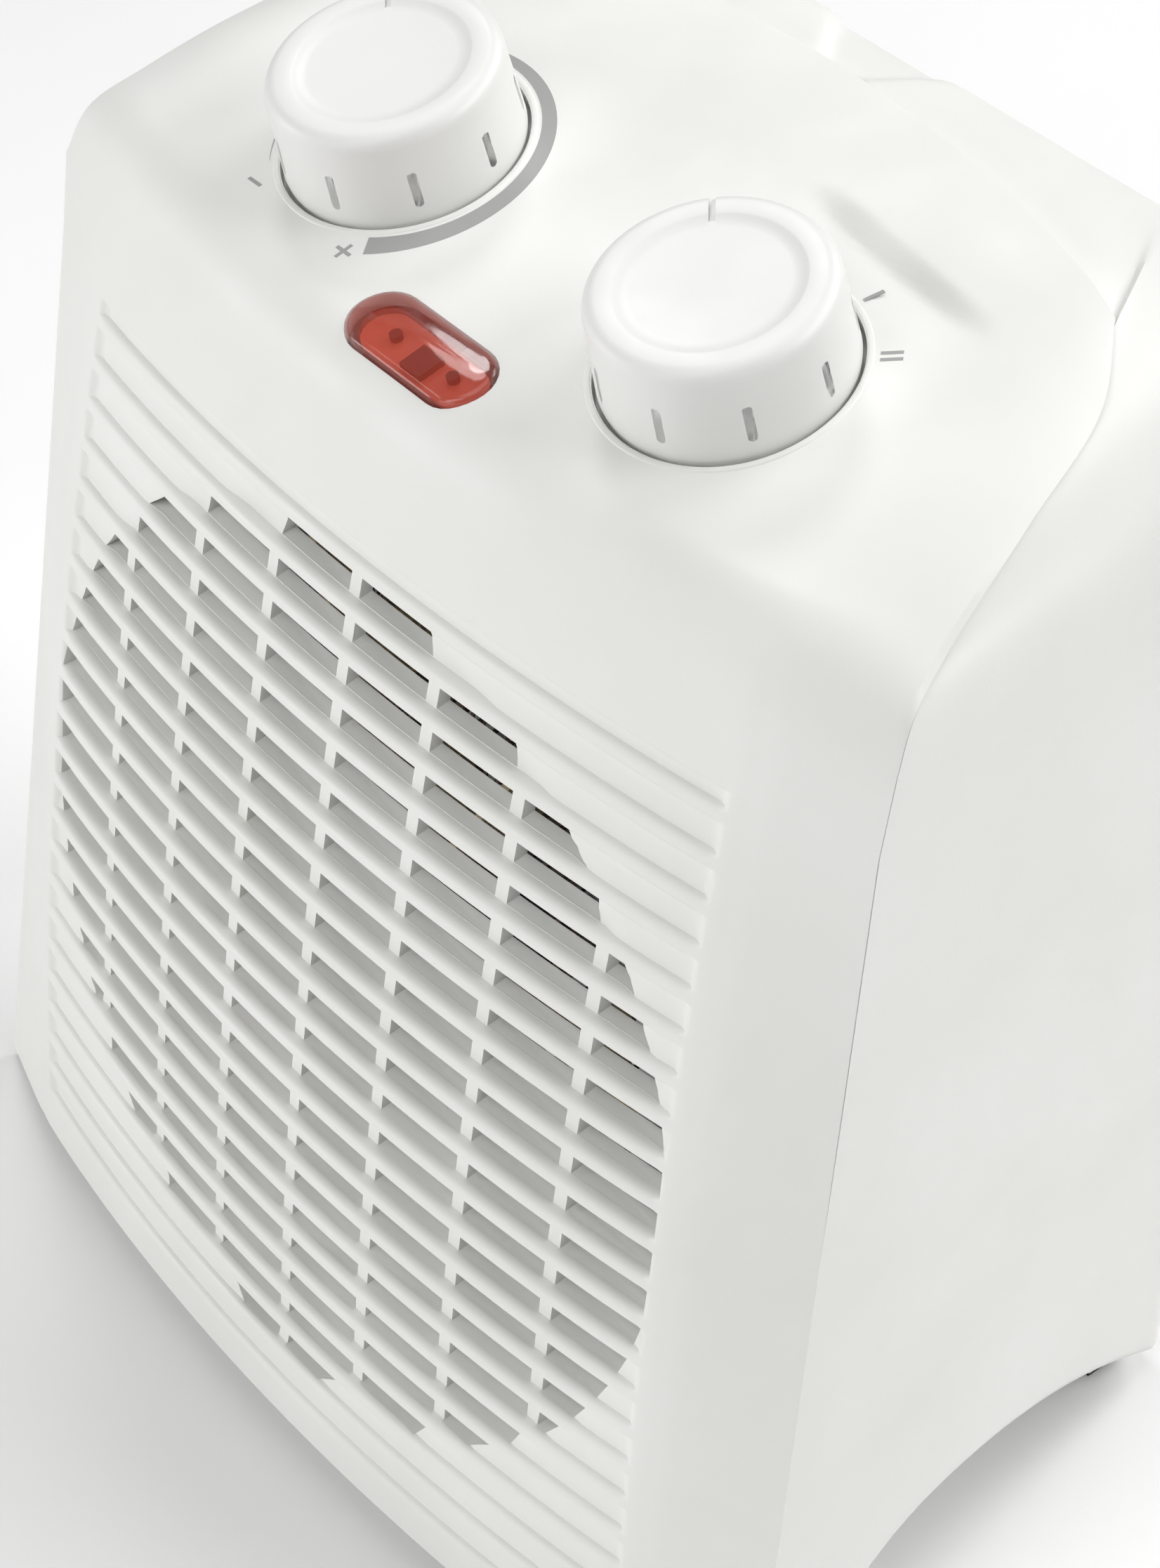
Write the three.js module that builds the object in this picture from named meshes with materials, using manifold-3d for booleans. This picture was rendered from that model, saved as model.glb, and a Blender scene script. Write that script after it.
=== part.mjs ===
// An upright 2000 W fan convector heater, millimetres, +Z up, +X to the right of a person facing it.
// The floor is z = 0 and the grille faces -Y. The ribbed front leans back, so the cover, the duct and
// the fan are built in a leaning "front" group: x across, y the depth behind the grille's nearest
// point, z up its slope. The knobs, lens and switches sit in a "panel" group on the sloping top.
import * as THREE from "three";
import { mergeVertices } from "three/addons/utils/BufferGeometryUtils.js";
import Module from "manifold-3d";

const wasm = await Module();
wasm.setup();

const { degToRad, lerp, smoothstep } = THREE.MathUtils;

// ---- driving dimensions ----
const LEAN = degToRad(8.5); // how far the front leans back
const FRONT_AT = [0, -48, 187]; // the front group's origin: level with the top of the first slot
const WALL = 3; // wall of the mouldings
const SEAM_GAP = 0.6; // open joint between the front cover and the rear housing
const FIT = 0.35; // clearance between pieces that touch

const ACROSS_RADIUS = 455; // bulge of the ribbed front, side to side
const UP_RADIUS = 1081; // bulge of the ribbed front, bottom to top
const FRONT_MIDDLE = -80; // height of the bulge's nearest point
const FRONT_FOOT = -182; // lower edge of the cover on the centre line
const SIDE_FOOT = -184; // lower edge of the cover at its sides
const RIDGE = 5.5; // top of the ribbed field
const APRON_TOP = 24; // where the smooth apron starts to fold back
const FOLD_RADIUS = 13; // fold from the apron to the control panel
const PANEL_SLOPE = degToRad(22.5); // slope of the panel in the leaning front group
const PANEL_LENGTH = 84.5; // from the end of the fold to the cover's rear edge
const CORNER_RADIUS = 28; // long rounding between the top and the sides
const RIM = { half: 84.5, taper: 0.035, top: 20 }; // half width of the ribbed front, by height
const SEAM_X = { at: 104, taper: 0.046 }; // half width of the lower seam, by height
const SEAM_Y = { at: 18.5, taper: 0.0137 }; // depth of the lower seam, by height
const FOLD_TURN = 0.6; // how far a section has turned towards the top at the end of the fold
const TURN_END = 0.35; // share of the panel over which it turns the rest of the way

const SLOT_PITCH = 8; // one rib and one slot
const SLOT_HEIGHT = 5.2;
const SLOT_ROWS = 21;
const MULLION_PITCH = 21.03;
const MULLION_WIDTH = 2.6;
const GRILLE_RADIUS = 84;
const GRILLE_CENTRE = -82; // height of the round grille's centre in the front group

const KNOB_OFFSET = 39.4; // knob centres, left and right of the panel's centre
const WELL_RADIUS = 20.5;
const WELL_DEPTH = 8;
const PANEL_AT = 29.4; // the panel's centre, up the slope from the end of the fold

const FOOT_HEIGHT = 2;
const REAR_Y = 68.2; // outer face of the rear wall
const REAR_ROUND = 7; // rounding of the rear wall's edge
const REAR_HALF = 91; // half the rear wall's width
const REAR_SHOULDER = 208; // height at which the rear wall's top corners start
const REAR_TOP = 239;
const TOP_STEP = 2.4; // the rear housing's top lies this far below the cover's edge
const ARCH_APEX = 30; // height of the arch under each side
const ARCH_MIDDLE = -6;
const ARCH_FRONT = 47; // from the middle of the arch to its front foot
const ARCH_REAR = 74; // and to its rear foot
const FLOOR_EDGE = 7; // underside of the floor at the front and the rear
const HOUSING_MIDDLE = 120; // a height inside every ring of the housing

const DUCT_RADIUS = 68;
const BLOWER_CENTRE = -73; // height of the duct's axis in the front group
const SHAFT_RADIUS = 3;
const MOTOR_Y = 92; // middle of the motor's laminated stack, behind the grille

// ---- solids ----
// A closed geometry as a manifold-3d solid: shared vertices are merged by position alone.
function solid(geometry) {
  const plain = new THREE.BufferGeometry();
  plain.setAttribute("position", geometry.getAttribute("position").clone());
  if (geometry.index) plain.setIndex(geometry.index.clone());
  const merged = mergeVertices(plain, 1e-4);
  const corners = merged.index.array;
  const triangles = [];
  for (let i = 0; i < corners.length; i += 3) {
    const [a, b, c] = corners.slice(i, i + 3);
    if (a !== b && b !== c && c !== a) triangles.push(a, b, c);
  }
  return new wasm.Manifold(
    new wasm.Mesh({
      numProp: 3,
      vertProperties: new Float32Array(merged.getAttribute("position").array),
      triVerts: new Uint32Array(triangles),
    }),
  );
}

function geometryOf(manifold) {
  const mesh = manifold.getMesh();
  const geometry = new THREE.BufferGeometry();
  geometry.setAttribute("position", new THREE.BufferAttribute(mesh.vertProperties, 3));
  geometry.setIndex(new THREE.BufferAttribute(mesh.triVerts, 1));
  geometry.computeVertexNormals();
  return geometry;
}

const united = (geometries) => geometries.map(solid).reduce((all, next) => all.add(next));

const join = (...geometries) => geometryOf(united(geometries));

const cut = (base, ...tools) => geometryOf(solid(base).subtract(united(tools)));

function box(x0, x1, y0, y1, z0, z1) {
  const geometry = new THREE.BoxGeometry(x1 - x0, y1 - y0, z1 - z0);
  return geometry.translate((x0 + x1) / 2, (y0 + y1) / 2, (z0 + z1) / 2);
}

// A solid turned about the Z axis from pairs of radius and height, listed upwards on the outside.
function turned(pairs, segments = 32) {
  return new THREE.LatheGeometry(
    pairs.map(([radius, height]) => new THREE.Vector2(radius, height)),
    segments,
  ).rotateX(Math.PI / 2);
}

function rod(radius, low, high, segments = 24) {
  return turned([[0, low], [radius, low], [radius, high], [0, high]], segments);
}

function tube(outer, inner, low, high, segments = 40) {
  return turned([[inner, low], [outer, low], [outer, high], [inner, high], [inner, low]], segments);
}

// Turns a solid built along +Z so that it runs along +Y, front to rear.
const backwards = (geometry) => geometry.rotateX(-Math.PI / 2);

function plate(outline, holes, thickness) {
  const shape = new THREE.Shape(outline.map(([x, y]) => new THREE.Vector2(x, y)));
  for (const [x, y, radius] of holes) {
    shape.holes.push(new THREE.Path().absarc(x, y, radius, 0, 2 * Math.PI, true));
  }
  return new THREE.ExtrudeGeometry(shape, { depth: thickness, bevelEnabled: false, curveSegments: 12 });
}

function stadium(length, width, low, high) {
  const straight = (length - width) / 2;
  const shape = new THREE.Shape();
  shape.absarc(straight, 0, width / 2, -Math.PI / 2, Math.PI / 2, false);
  shape.absarc(-straight, 0, width / 2, Math.PI / 2, 1.5 * Math.PI, false);
  const options = { depth: high - low, bevelEnabled: false, curveSegments: 8 };
  return new THREE.ExtrudeGeometry(shape, options).translate(0, 0, low);
}

// ---- groups, materials and pieces ----
const heater = new THREE.Group();
const front = new THREE.Group();
front.position.set(...FRONT_AT);
front.rotation.x = -LEAN;
heater.add(front);
front.updateMatrix();

// Depth of the ribbed front on the centre line, by height.
const depthUp = (z) => (z - FRONT_MIDDLE) ** 2 / (2 * UP_RADIUS);

// Further depth of the ribbed front at x, up to the rim where the plain corner facet takes over.
const acrossDepth = (x) => x ** 2 / (2 * ACROSS_RADIUS);

const fold = {
  y: FOLD_RADIUS * (1 - Math.sin(PANEL_SLOPE)),
  z: FOLD_RADIUS * Math.cos(PANEL_SLOPE),
};
const APRON_Y = depthUp(RIDGE);
const panelStart = new THREE.Vector2(APRON_Y + fold.y, APRON_TOP + fold.z);
const upPanel = new THREE.Vector2(Math.cos(PANEL_SLOPE), Math.sin(PANEL_SLOPE));
const offPanel = new THREE.Vector2(-upPanel.y, upPanel.x);
const panel = new THREE.Group();
panel.position.set(0, panelStart.x + PANEL_AT * upPanel.x, panelStart.y + PANEL_AT * upPanel.y);
panel.rotation.x = PANEL_SLOPE;
front.add(panel);
panel.updateMatrix();

const finishes = {
  housing_white: { color: 0xe6e6e2, roughness: 0.5, metalness: 0 },
  knob_white: { color: 0xe4e4e1, roughness: 0.45, metalness: 0 },
  lens_red: { color: 0xa8201c, roughness: 0.15, metalness: 0 },
  neon_glass: { color: 0xc9a08c, roughness: 0.1, metalness: 0 },
  black_plastic: { color: 0x1c1c1e, roughness: 0.55, metalness: 0 },
  sheet_steel: { color: 0x9fa3a5, roughness: 0.35, metalness: 1 },
  motor_steel: { color: 0x6d6f70, roughness: 0.5, metalness: 1 },
  mica: { color: 0xb59f74, roughness: 0.6, metalness: 0 },
  resistance_wire: { color: 0x5c4a40, roughness: 0.5, metalness: 1 },
  copper_winding: { color: 0x9a4f24, roughness: 0.4, metalness: 0.6 },
  fan_aluminium: { color: 0xb9bcbd, roughness: 0.4, metalness: 1 },
  brass: { color: 0xb08d45, roughness: 0.35, metalness: 1 },
  rubber: { color: 0x2a2a2b, roughness: 0.9, metalness: 0 },
};

function piece(name, finish, geometry, parent = heater) {
  const mesh = new THREE.Mesh(geometry, new THREE.MeshStandardMaterial(finishes[finish]));
  mesh.name = name;
  parent.add(mesh);
  return mesh;
}

// ---- the body's outer surface ----
// The seam's upper run in the front group: up the side, over the corner, then back along the top.
const upperSeam = new THREE.CatmullRomCurve3(
  [
    [104, 18.5, 20],
    [102.5, 21.3, 28],
    [99, 29.5, 34],
    [93, 48.5, 46],
    [85, 69, 55],
    [75, 80, 62],
  ].map((point) => new THREE.Vector3(...point)),
);
const FOLD_SHARE = 0.4; // share of the upper seam that stands beside the fold

const RIB_LINES = 8; // stations on the middle of every third rib
const range = (count) => Array.from({ length: count }, (_, k) => k);

// The stations run up the centre line. Each has its centre point, the seam point at its right-hand
// end, and turn: 0 where the section runs straight back from the front, 1 where it lies on the top.
function stations(foldRows, panelRows) {
  const ribs = range(RIB_LINES).map((k) => (SLOT_PITCH - SLOT_HEIGHT) / 2 - 3 * SLOT_PITCH * k);
  const rows = [FRONT_FOOT, ...ribs.reverse(), RIDGE].map((z) => {
    const side = z === FRONT_FOOT ? SIDE_FOOT : z;
    return {
      centre: new THREE.Vector2(depthUp(z), z),
      seam: new THREE.Vector3(
        SEAM_X.at - SEAM_X.taper * side,
        SEAM_Y.at - SEAM_Y.taper * side,
        side,
      ),
      turn: 0,
    };
  });
  for (let i = 1; i <= foldRows; i++) {
    const share = i / foldRows;
    const angle = share * (Math.PI / 2 - PANEL_SLOPE);
    const arc = new THREE.Vector2(
      APRON_Y + FOLD_RADIUS * (1 - Math.cos(angle)),
      APRON_TOP + FOLD_RADIUS * Math.sin(angle),
    );
    rows.push({
      centre: arc,
      seam: upperSeam.getPoint(FOLD_SHARE * share),
      turn: FOLD_TURN * smoothstep(share, 0, 1),
    });
  }
  for (let i = 1; i <= panelRows; i++) {
    const share = i / panelRows;
    rows.push({
      centre: panelStart.clone().addScaledVector(upPanel, share * PANEL_LENGTH),
      seam: upperSeam.getPoint(lerp(FOLD_SHARE, 1, share)),
      turn: lerp(FOLD_TURN, 1, smoothstep(share, 0, TURN_END)),
    });
  }
  return rows;
}

// One section: points from the centre out to the seam, on the right-hand side.
function section({ centre, seam, turn }, rimColumns, edgeColumns) {
  const away = new THREE.Vector2(seam.y - centre.x, seam.z - centre.y);
  const along = away.dot(upPanel);
  const behind = smoothstep(away.x, 4, 16); // 1 where the seam lies well behind the centre
  const drop = Math.max(-away.dot(offPanel), 0.01);
  const run = Math.sqrt(CORNER_RADIUS ** 2 - (CORNER_RADIUS - drop) ** 2);
  const rim = lerp(RIM.half - RIM.taper * Math.min(seam.z, RIM.top), seam.x - run, turn);
  const points = [];
  for (let i = 0; i <= rimColumns + edgeColumns; i++) {
    const mullion = lerp(i * MULLION_PITCH, (rim * i) / rimColumns, turn);
    const outer = lerp(rim, seam.x, (i - rimColumns) / edgeColumns);
    const x = i < rimColumns ? mullion : outer;
    const beyond = Math.max(0, x - rim);
    const facet = (away.x - acrossDepth(rim)) * (beyond / (seam.x - rim));
    const back = acrossDepth(Math.min(x, rim)) + facet;
    const share = lerp((x / seam.x) ** 2, back / Math.max(away.x, 4), behind);
    const round = (CORNER_RADIUS - Math.sqrt(CORNER_RADIUS ** 2 - beyond ** 2)) / drop;
    const frontY = back;
    const frontZ = away.y * (x / seam.x) ** 2;
    const topY = along * share * upPanel.x - drop * Math.min(round, 1) * offPanel.x;
    const topZ = along * share * upPanel.y - drop * Math.min(round, 1) * offPanel.y;
    points.push(
      new THREE.Vector3(
        x,
        centre.x + lerp(frontY, topY, turn),
        centre.y + lerp(frontZ, topZ, turn),
      ),
    );
  }
  points[points.length - 1].copy(seam);
  return points;
}

const mirrored = (point) => new THREE.Vector3(-point.x, point.y, point.z);

// ---- the front cover ----
const FRONT_ROWS = RIB_LINES + 1;
const FOLD_ROWS = 4;
const PANEL_ROWS = 4;
const RIM_COLUMNS = 4;
const EDGE_COLUMNS = 2;
const coverStations = stations(FOLD_ROWS, PANEL_ROWS);
const halfSections = coverStations.map((row) => section(row, RIM_COLUMNS, EDGE_COLUMNS));

// The whole grid of outer points, from the left seam to the right seam, bottom row first.
const coverGrid = halfSections.map((half) => [
  ...half.slice(1).reverse().map(mirrored),
  ...half,
]);

// The outward normal at a grid point, from its neighbours.
function gridNormal(grid, row, column) {
  const last = grid.length - 1;
  const end = grid[row].length - 1;
  const across = grid[row][Math.min(column + 1, end)].clone();
  across.sub(grid[row][Math.max(column - 1, 0)]);
  const up = grid[Math.min(row + 1, last)][column].clone();
  up.sub(grid[Math.max(row - 1, 0)][column]);
  return across.cross(up).normalize();
}

// The cover's inner surface. Its edges are set in square to the seam, so that the two mouldings
// meet face to face.
function innerGrid(grid) {
  const last = grid.length - 1;
  const end = grid[0].length - 1;
  const down = new THREE.Vector3(0, Math.sin(LEAN), -Math.cos(LEAN));
  return grid.map((row, i) =>
    row.map((point, j) => {
      const inwards = gridNormal(grid, i, j).negate();
      if (i === 0) inwards.z = 0;
      if (i === last) inwards.copy(down);
      if (j === 0 || j === end) inwards.set(-Math.sign(point.x), 0, 0);
      if (i === last && (j === 0 || j === end)) inwards.add(down);
      return point.clone().addScaledVector(inwards.normalize(), WALL);
    }),
  );
}

// A closed shell between two grids of the same size.
function gridShell(outer, inner) {
  const rows = outer.length;
  const columns = outer[0].length;
  const positions = [...outer.flat(), ...inner.flat()].flatMap((point) => point.toArray());
  const at = (side, row, column) => side * rows * columns + row * columns + column;
  const index = [];
  const quad = (a, b, c, d) => index.push(a, b, c, a, c, d);
  for (let i = 0; i < rows - 1; i++) {
    for (let j = 0; j < columns - 1; j++) {
      quad(at(0, i, j), at(0, i, j + 1), at(0, i + 1, j + 1), at(0, i + 1, j));
      quad(at(1, i, j), at(1, i + 1, j), at(1, i + 1, j + 1), at(1, i, j + 1));
    }
    quad(at(0, i, 0), at(0, i + 1, 0), at(1, i + 1, 0), at(1, i, 0));
    const end = columns - 1;
    quad(at(0, i + 1, end), at(0, i, end), at(1, i, end), at(1, i + 1, end));
  }
  for (let j = 0; j < columns - 1; j++) {
    const top = rows - 1;
    quad(at(0, 0, j + 1), at(0, 0, j), at(1, 0, j), at(1, 0, j + 1));
    quad(at(0, top, j), at(0, top, j + 1), at(1, top, j + 1), at(1, top, j));
  }
  const geometry = new THREE.BufferGeometry();
  geometry.setAttribute("position", new THREE.Float32BufferAttribute(positions, 3));
  return geometry.setIndex(index);
}

// Through slots inside the grille's circle, between the mullions.
function grilleSlots() {
  const slots = [];
  for (let row = 0; row < SLOT_ROWS; row++) {
    const top = -row * SLOT_PITCH;
    const middle = top - SLOT_HEIGHT / 2;
    const reach = Math.sqrt(GRILLE_RADIUS ** 2 - (middle - GRILLE_CENTRE) ** 2);
    for (let bay = -4; bay < 4; bay++) {
      const left = Math.max(bay * MULLION_PITCH + MULLION_WIDTH / 2, -reach);
      const right = Math.min((bay + 1) * MULLION_PITCH - MULLION_WIDTH / 2, reach);
      if (right - left > 4) slots.push(box(left, right, -8, 20, top - SLOT_HEIGHT, top));
    }
  }
  return slots;
}

// The cover's bottom flange reaches back to the rear housing's floor.
const FLANGE = { back: 19.8, above: 1.2, bite: 1 }; // bite: how far it runs into the wall
function bottomFlange() {
  const inside = innerGrid(coverGrid)[0]
    .filter((point) => point.y < FLANGE.back - 2)
    .map((point) => [point.x, point.y - FLANGE.bite]);
  const outline = [...inside, [inside.at(-1)[0], FLANGE.back], [inside[0][0], FLANGE.back]];
  return plate(outline, [], WALL).translate(0, 0, FRONT_FOOT + FLANGE.above);
}

const onPanel = (geometry) => geometry.applyMatrix4(panel.matrix);
const LENS = { length: 30.5, width: 12.1, v: -27.8, proud: 0.6, depth: 9 };
const SHAFT_HOLE = 4.6;
const bosses = [[-78, -145], [78, -145], [-72, 6], [72, 6]]; // the four fixing bosses, x and z
const BOSS_RADIUS = 5;
const BOSS_END = 46; // how far behind the front they reach
const SCREW = { head: 3.4, shank: 1.5, length: 12 };

function frontCover() {
  const additions = [bottomFlange()];
  const cuts = grilleSlots();
  for (const x of [-KNOB_OFFSET, KNOB_OFFSET]) {
    const cup = rod(WELL_RADIUS + 2, -WELL_DEPTH - 2, -1, 30).translate(x, 0, 0);
    additions.push(onPanel(cup));
    cuts.push(onPanel(rod(WELL_RADIUS, -WELL_DEPTH, 12, 30).translate(x, 0, 0)));
    cuts.push(onPanel(rod(SHAFT_HOLE, -WELL_DEPTH - 6, 0, 16).translate(x, 0, 0)));
  }
  const pocket = stadium(LENS.length + 2 * FIT, LENS.width + 2 * FIT, -14, 12);
  cuts.push(onPanel(pocket.translate(0, LENS.v, 0)));
  for (const [x, z] of bosses) {
    const start = acrossDepth(x) + depthUp(z) + 1.2;
    additions.push(backwards(rod(BOSS_RADIUS, start, BOSS_END, 16)).translate(x, 0, z));
    cuts.push(backwards(rod(SCREW.shank + FIT, start + 6, BOSS_END + 1, 8)).translate(x, 0, z));
  }
  const shell = gridShell(coverGrid, innerGrid(coverGrid));
  return cut(join(shell, ...additions), ...cuts);
}
piece("front_cover", "housing_white", frontCover(), front);

// ---- the rear housing ----
// Height of the arch above the floor, by depth: a parabola each side of its middle.
function archHeight(y) {
  const reach = y < ARCH_MIDDLE ? ARCH_FRONT : ARCH_REAR;
  const height = (ARCH_APEX - FOOT_HEIGHT) * (1 - ((y - ARCH_MIDDLE) / reach) ** 2);
  return FOOT_HEIGHT + Math.max(0, height);
}

const toBody = (point) => point.clone().applyMatrix4(front.matrix);

// The right half of the housing's front rim and of its rear outline, point for point, from the
// side's lower edge, up, over the corner and in to the centre line. "lift" is how much of the arch
// a point takes.
function housingRim() {
  const seam = coverStations.map((row) => toBody(row.seam));
  const corner = FRONT_ROWS;
  const topLine = halfSections.at(-1).slice(0, -1).reverse().map(toBody);
  const rim = [];
  seam.forEach((point, k) => {
    const before = seam[Math.max(k - 1, 0)];
    const after = seam[Math.min(k + 1, seam.length - 1)];
    const run = new THREE.Vector2(after.y - before.y, after.z - before.z).normalize();
    const atFront = point.clone();
    atFront.y += SEAM_GAP * run.y;
    atFront.z -= SEAM_GAP * run.x;
    atFront.x -= 0.4;
    if (k === seam.length - 1) atFront.z -= TOP_STEP / 2;
    const up = k / corner;
    const turn = (Math.PI / 2) * Math.max(0, (k - corner) / (seam.length - 1 - corner));
    const radius = CORNER_RADIUS;
    const atRear = up < 1
      ? new THREE.Vector3(REAR_HALF, REAR_Y, lerp(FOOT_HEIGHT, REAR_SHOULDER, up))
      : new THREE.Vector3(
          REAR_HALF - radius * (1 - Math.cos(turn)),
          REAR_Y,
          REAR_SHOULDER + (REAR_TOP - REAR_SHOULDER) * Math.sin(turn),
        );
    rim.push({ atFront, atRear, lift: Math.max(0, 1 - up) });
  });
  topLine.forEach((point, k) => {
    const atFront = point.clone();
    atFront.y += SEAM_GAP;
    atFront.z -= TOP_STEP;
    const inwards = 1 - (k + 1) / topLine.length;
    const atRear = new THREE.Vector3((REAR_HALF - CORNER_RADIUS) * inwards, REAR_Y, REAR_TOP);
    rim.push({ atFront, atRear, lift: 0 });
  });
  rim[0].atFront.z = FOOT_HEIGHT;
  rim[0].atFront.y += 2 * SEAM_GAP;
  return rim;
}

const RING_SHARES = [0, 0.12, 0.28, 0.45, 0.62, 0.82]; // the arch is at full height from the second
const FLOOR_POINTS = [0.4, 0.82]; // corners of the floor, as shares of the half width

// Points of one ring of the housing, share 0 at the seam and 1 at the rear wall, drawn in by inset.
function housingRing(rim, share, inset, rearInset = 0) {
  const half = rim.map(({ atFront, atRear, lift }) => {
    const point = atFront.clone().lerp(atRear, share);
    point.y -= rearInset * share;
    const arch = (archHeight(point.y) - FOOT_HEIGHT) * Math.min(1, share / RING_SHARES[1]);
    point.z += arch * lift ** 1.5;
    return point;
  });
  const floorZ = Math.max(half[0].z, FLOOR_EDGE);
  const floor = FLOOR_POINTS.map((x) => new THREE.Vector3(half[0].x * x, half[0].y, floorZ));
  const right = [...floor, ...half];
  const ring = [...right.slice(0, -1), ...right.slice().reverse().map(mirrored)];
  return ring.map((point, k) => {
    const before = ring[(k + ring.length - 1) % ring.length];
    const after = ring[(k + 1) % ring.length];
    const run = new THREE.Vector2(after.x - before.x, after.z - before.z).normalize();
    const outwards = new THREE.Vector2(run.y, -run.x);
    if (outwards.dot(new THREE.Vector2(point.x, point.z - HOUSING_MIDDLE)) < 0) outwards.negate();
    return new THREE.Vector3(point.x - outwards.x * inset, point.y, point.z - outwards.y * inset);
  });
}

// A closed loft through rings of the same count, capped at both ends by fans.
function loft(rings) {
  const count = rings[0].length;
  const centre = (ring) =>
    ring.reduce((sum, point) => sum.add(point), new THREE.Vector3()).divideScalar(count);
  const points = [...rings.flat(), centre(rings[0]), centre(rings.at(-1))];
  const index = [];
  for (let i = 0; i < rings.length - 1; i++) {
    for (let j = 0; j < count; j++) {
      const next = (j + 1) % count;
      const a = i * count + j;
      const b = i * count + next;
      index.push(a, b, b + count, a, b + count, a + count);
    }
  }
  const start = rings.length * count;
  for (let j = 0; j < count; j++) {
    const next = (j + 1) % count;
    const lastRing = (rings.length - 1) * count;
    index.push(start, next, j, start + 1, lastRing + j, lastRing + next);
  }
  const geometry = new THREE.BufferGeometry();
  const flat = points.flatMap((point) => point.toArray());
  geometry.setAttribute("position", new THREE.Float32BufferAttribute(flat, 3));
  geometry.setIndex(index);
  if (solid(geometry).volume() < 0) geometry.setIndex(index.reverse());
  return geometry;
}

const POST_RADIUS = 6.5;
const POST_BORE = 4.4;
const POST_FLOOR = 2; // the screw's head bears on this thickness

// Depth in the front group at which a line at height z meets the body's depth y.
const depthAt = (y, z) => (y - FRONT_AT[1] - z * Math.sin(LEAN)) / Math.cos(LEAN);

// A pair of rounding rings and the flat rear face, as insets and depths in front of the rear wall.
const ROUNDING = [0, 45, 90].map(degToRad).map((angle) => ({
  inset: REAR_ROUND * (1 - Math.cos(angle)),
  ahead: REAR_ROUND * (1 - Math.sin(angle)),
}));

// The intake slots in the rear wall: rows above and below the middle one, in three bays.
const INTAKE = { radius: 76, centre: 112, rows: 7, pitch: 10, slot: 5.2, bay: 50, bar: 3.2 };
function intakeSlots() {
  const { radius, centre, rows, pitch, slot, bay: width, bar } = INTAKE;
  const slots = [];
  for (let row = -rows; row <= rows; row++) {
    const z = centre + row * pitch;
    const reach = Math.sqrt(radius ** 2 - (row * pitch) ** 2);
    for (let bay = -1.5; bay < 1.5; bay++) {
      const left = Math.max(bay * width + bar / 2, -reach);
      const right = Math.min((bay + 1) * width - bar / 2, reach);
      if (right - left < 6) continue;
      slots.push(box(left, right, REAR_Y - WALL - 5, REAR_Y + 5, z - slot / 2, z + slot / 2));
    }
  }
  return slots;
}

const GRIP = { half: 46, bottom: 206, top: 226, depth: 17 }; // hand recess in the rear wall
const INLET = { x: 62, z: 42, hole: 7.2 }; // where the mains lead would enter
const FOOT = { length: 16, width: 8, block: 12 }; // a rubber pad, and the top of the block over it
const footPlaces = [[-92, -43], [92, -43], [-76, 58], [76, 58]];

function rearHousing() {
  const rim = housingRim();
  const outer = [
    ...RING_SHARES.map((share) => housingRing(rim, share, 0, REAR_ROUND)),
    ...ROUNDING.map(({ inset, ahead }) => housingRing(rim, 1, inset, ahead)),
  ];
  const inner = [
    ...RING_SHARES.map((share) => housingRing(rim, share, WALL, REAR_ROUND)),
    ...ROUNDING.map(({ inset, ahead }) => housingRing(rim, 1, WALL + inset, ahead + WALL)),
  ];
  // From the outer rear face forward to the rim, then back inside: one closed cup.
  const shell = loft([...outer.reverse(), ...inner]);
  const additions = [];
  const cuts = intakeSlots();
  const start = BOSS_END + FIT;
  for (const [x, z] of bosses) {
    const at = (geometry) => backwards(geometry).translate(x, 0, z).applyMatrix4(front.matrix);
    additions.push(at(rod(POST_RADIUS, start, depthAt(REAR_Y - WALL / 2, z), 16)));
    cuts.push(at(rod(POST_BORE, start + POST_FLOOR, depthAt(REAR_Y + 3, z), 16)));
    cuts.push(at(rod(SCREW.shank + FIT, start - 1, start + POST_FLOOR + 1, 8)));
  }
  for (const [x, y] of footPlaces) {
    const halfX = FOOT.length / 2 + 1;
    const halfY = FOOT.width / 2 + 1;
    const low = FOOT_HEIGHT + FIT;
    additions.push(box(x - halfX, x + halfX, y - halfY, y + halfY, low, FOOT_HEIGHT + FOOT.block));
  }
  const { half, bottom, top, depth } = GRIP;
  const outside = [-half - WALL, half + WALL, REAR_Y - depth - WALL, REAR_Y - 2, bottom - WALL, top + WALL];
  additions.push(box(...outside));
  cuts.push(box(-half, half, REAR_Y - depth, REAR_Y + 4, bottom, top));
  cuts.push(backwards(rod(INLET.hole, REAR_Y - 20, REAR_Y + 5, 20)).translate(INLET.x, 0, INLET.z));
  return cut(join(shell, ...additions), ...cuts);
}
piece("rear_housing", "housing_white", rearHousing());

footPlaces.forEach(([x, y]) => {
  const name = `foot_${y < 0 ? "front" : "rear"}_${x < 0 ? "left" : "right"}`;
  const halfX = FOOT.length / 2;
  const halfY = FOOT.width / 2;
  piece(name, "rubber", box(x - halfX, x + halfX, y - halfY, y + halfY, 0, FOOT_HEIGHT));
});

bosses.forEach(([x, z], k) => {
  const seat = BOSS_END + FIT + POST_FLOOR + FIT;
  const head = rod(SCREW.head, seat, seat + 2.6, 16);
  const shank = rod(SCREW.shank, seat - SCREW.length, seat + 1, 8);
  const screw = backwards(join(head, shank)).translate(x, 0, z);
  piece(`housing_screw_${k + 1}`, "sheet_steel", screw, front);
});

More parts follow.
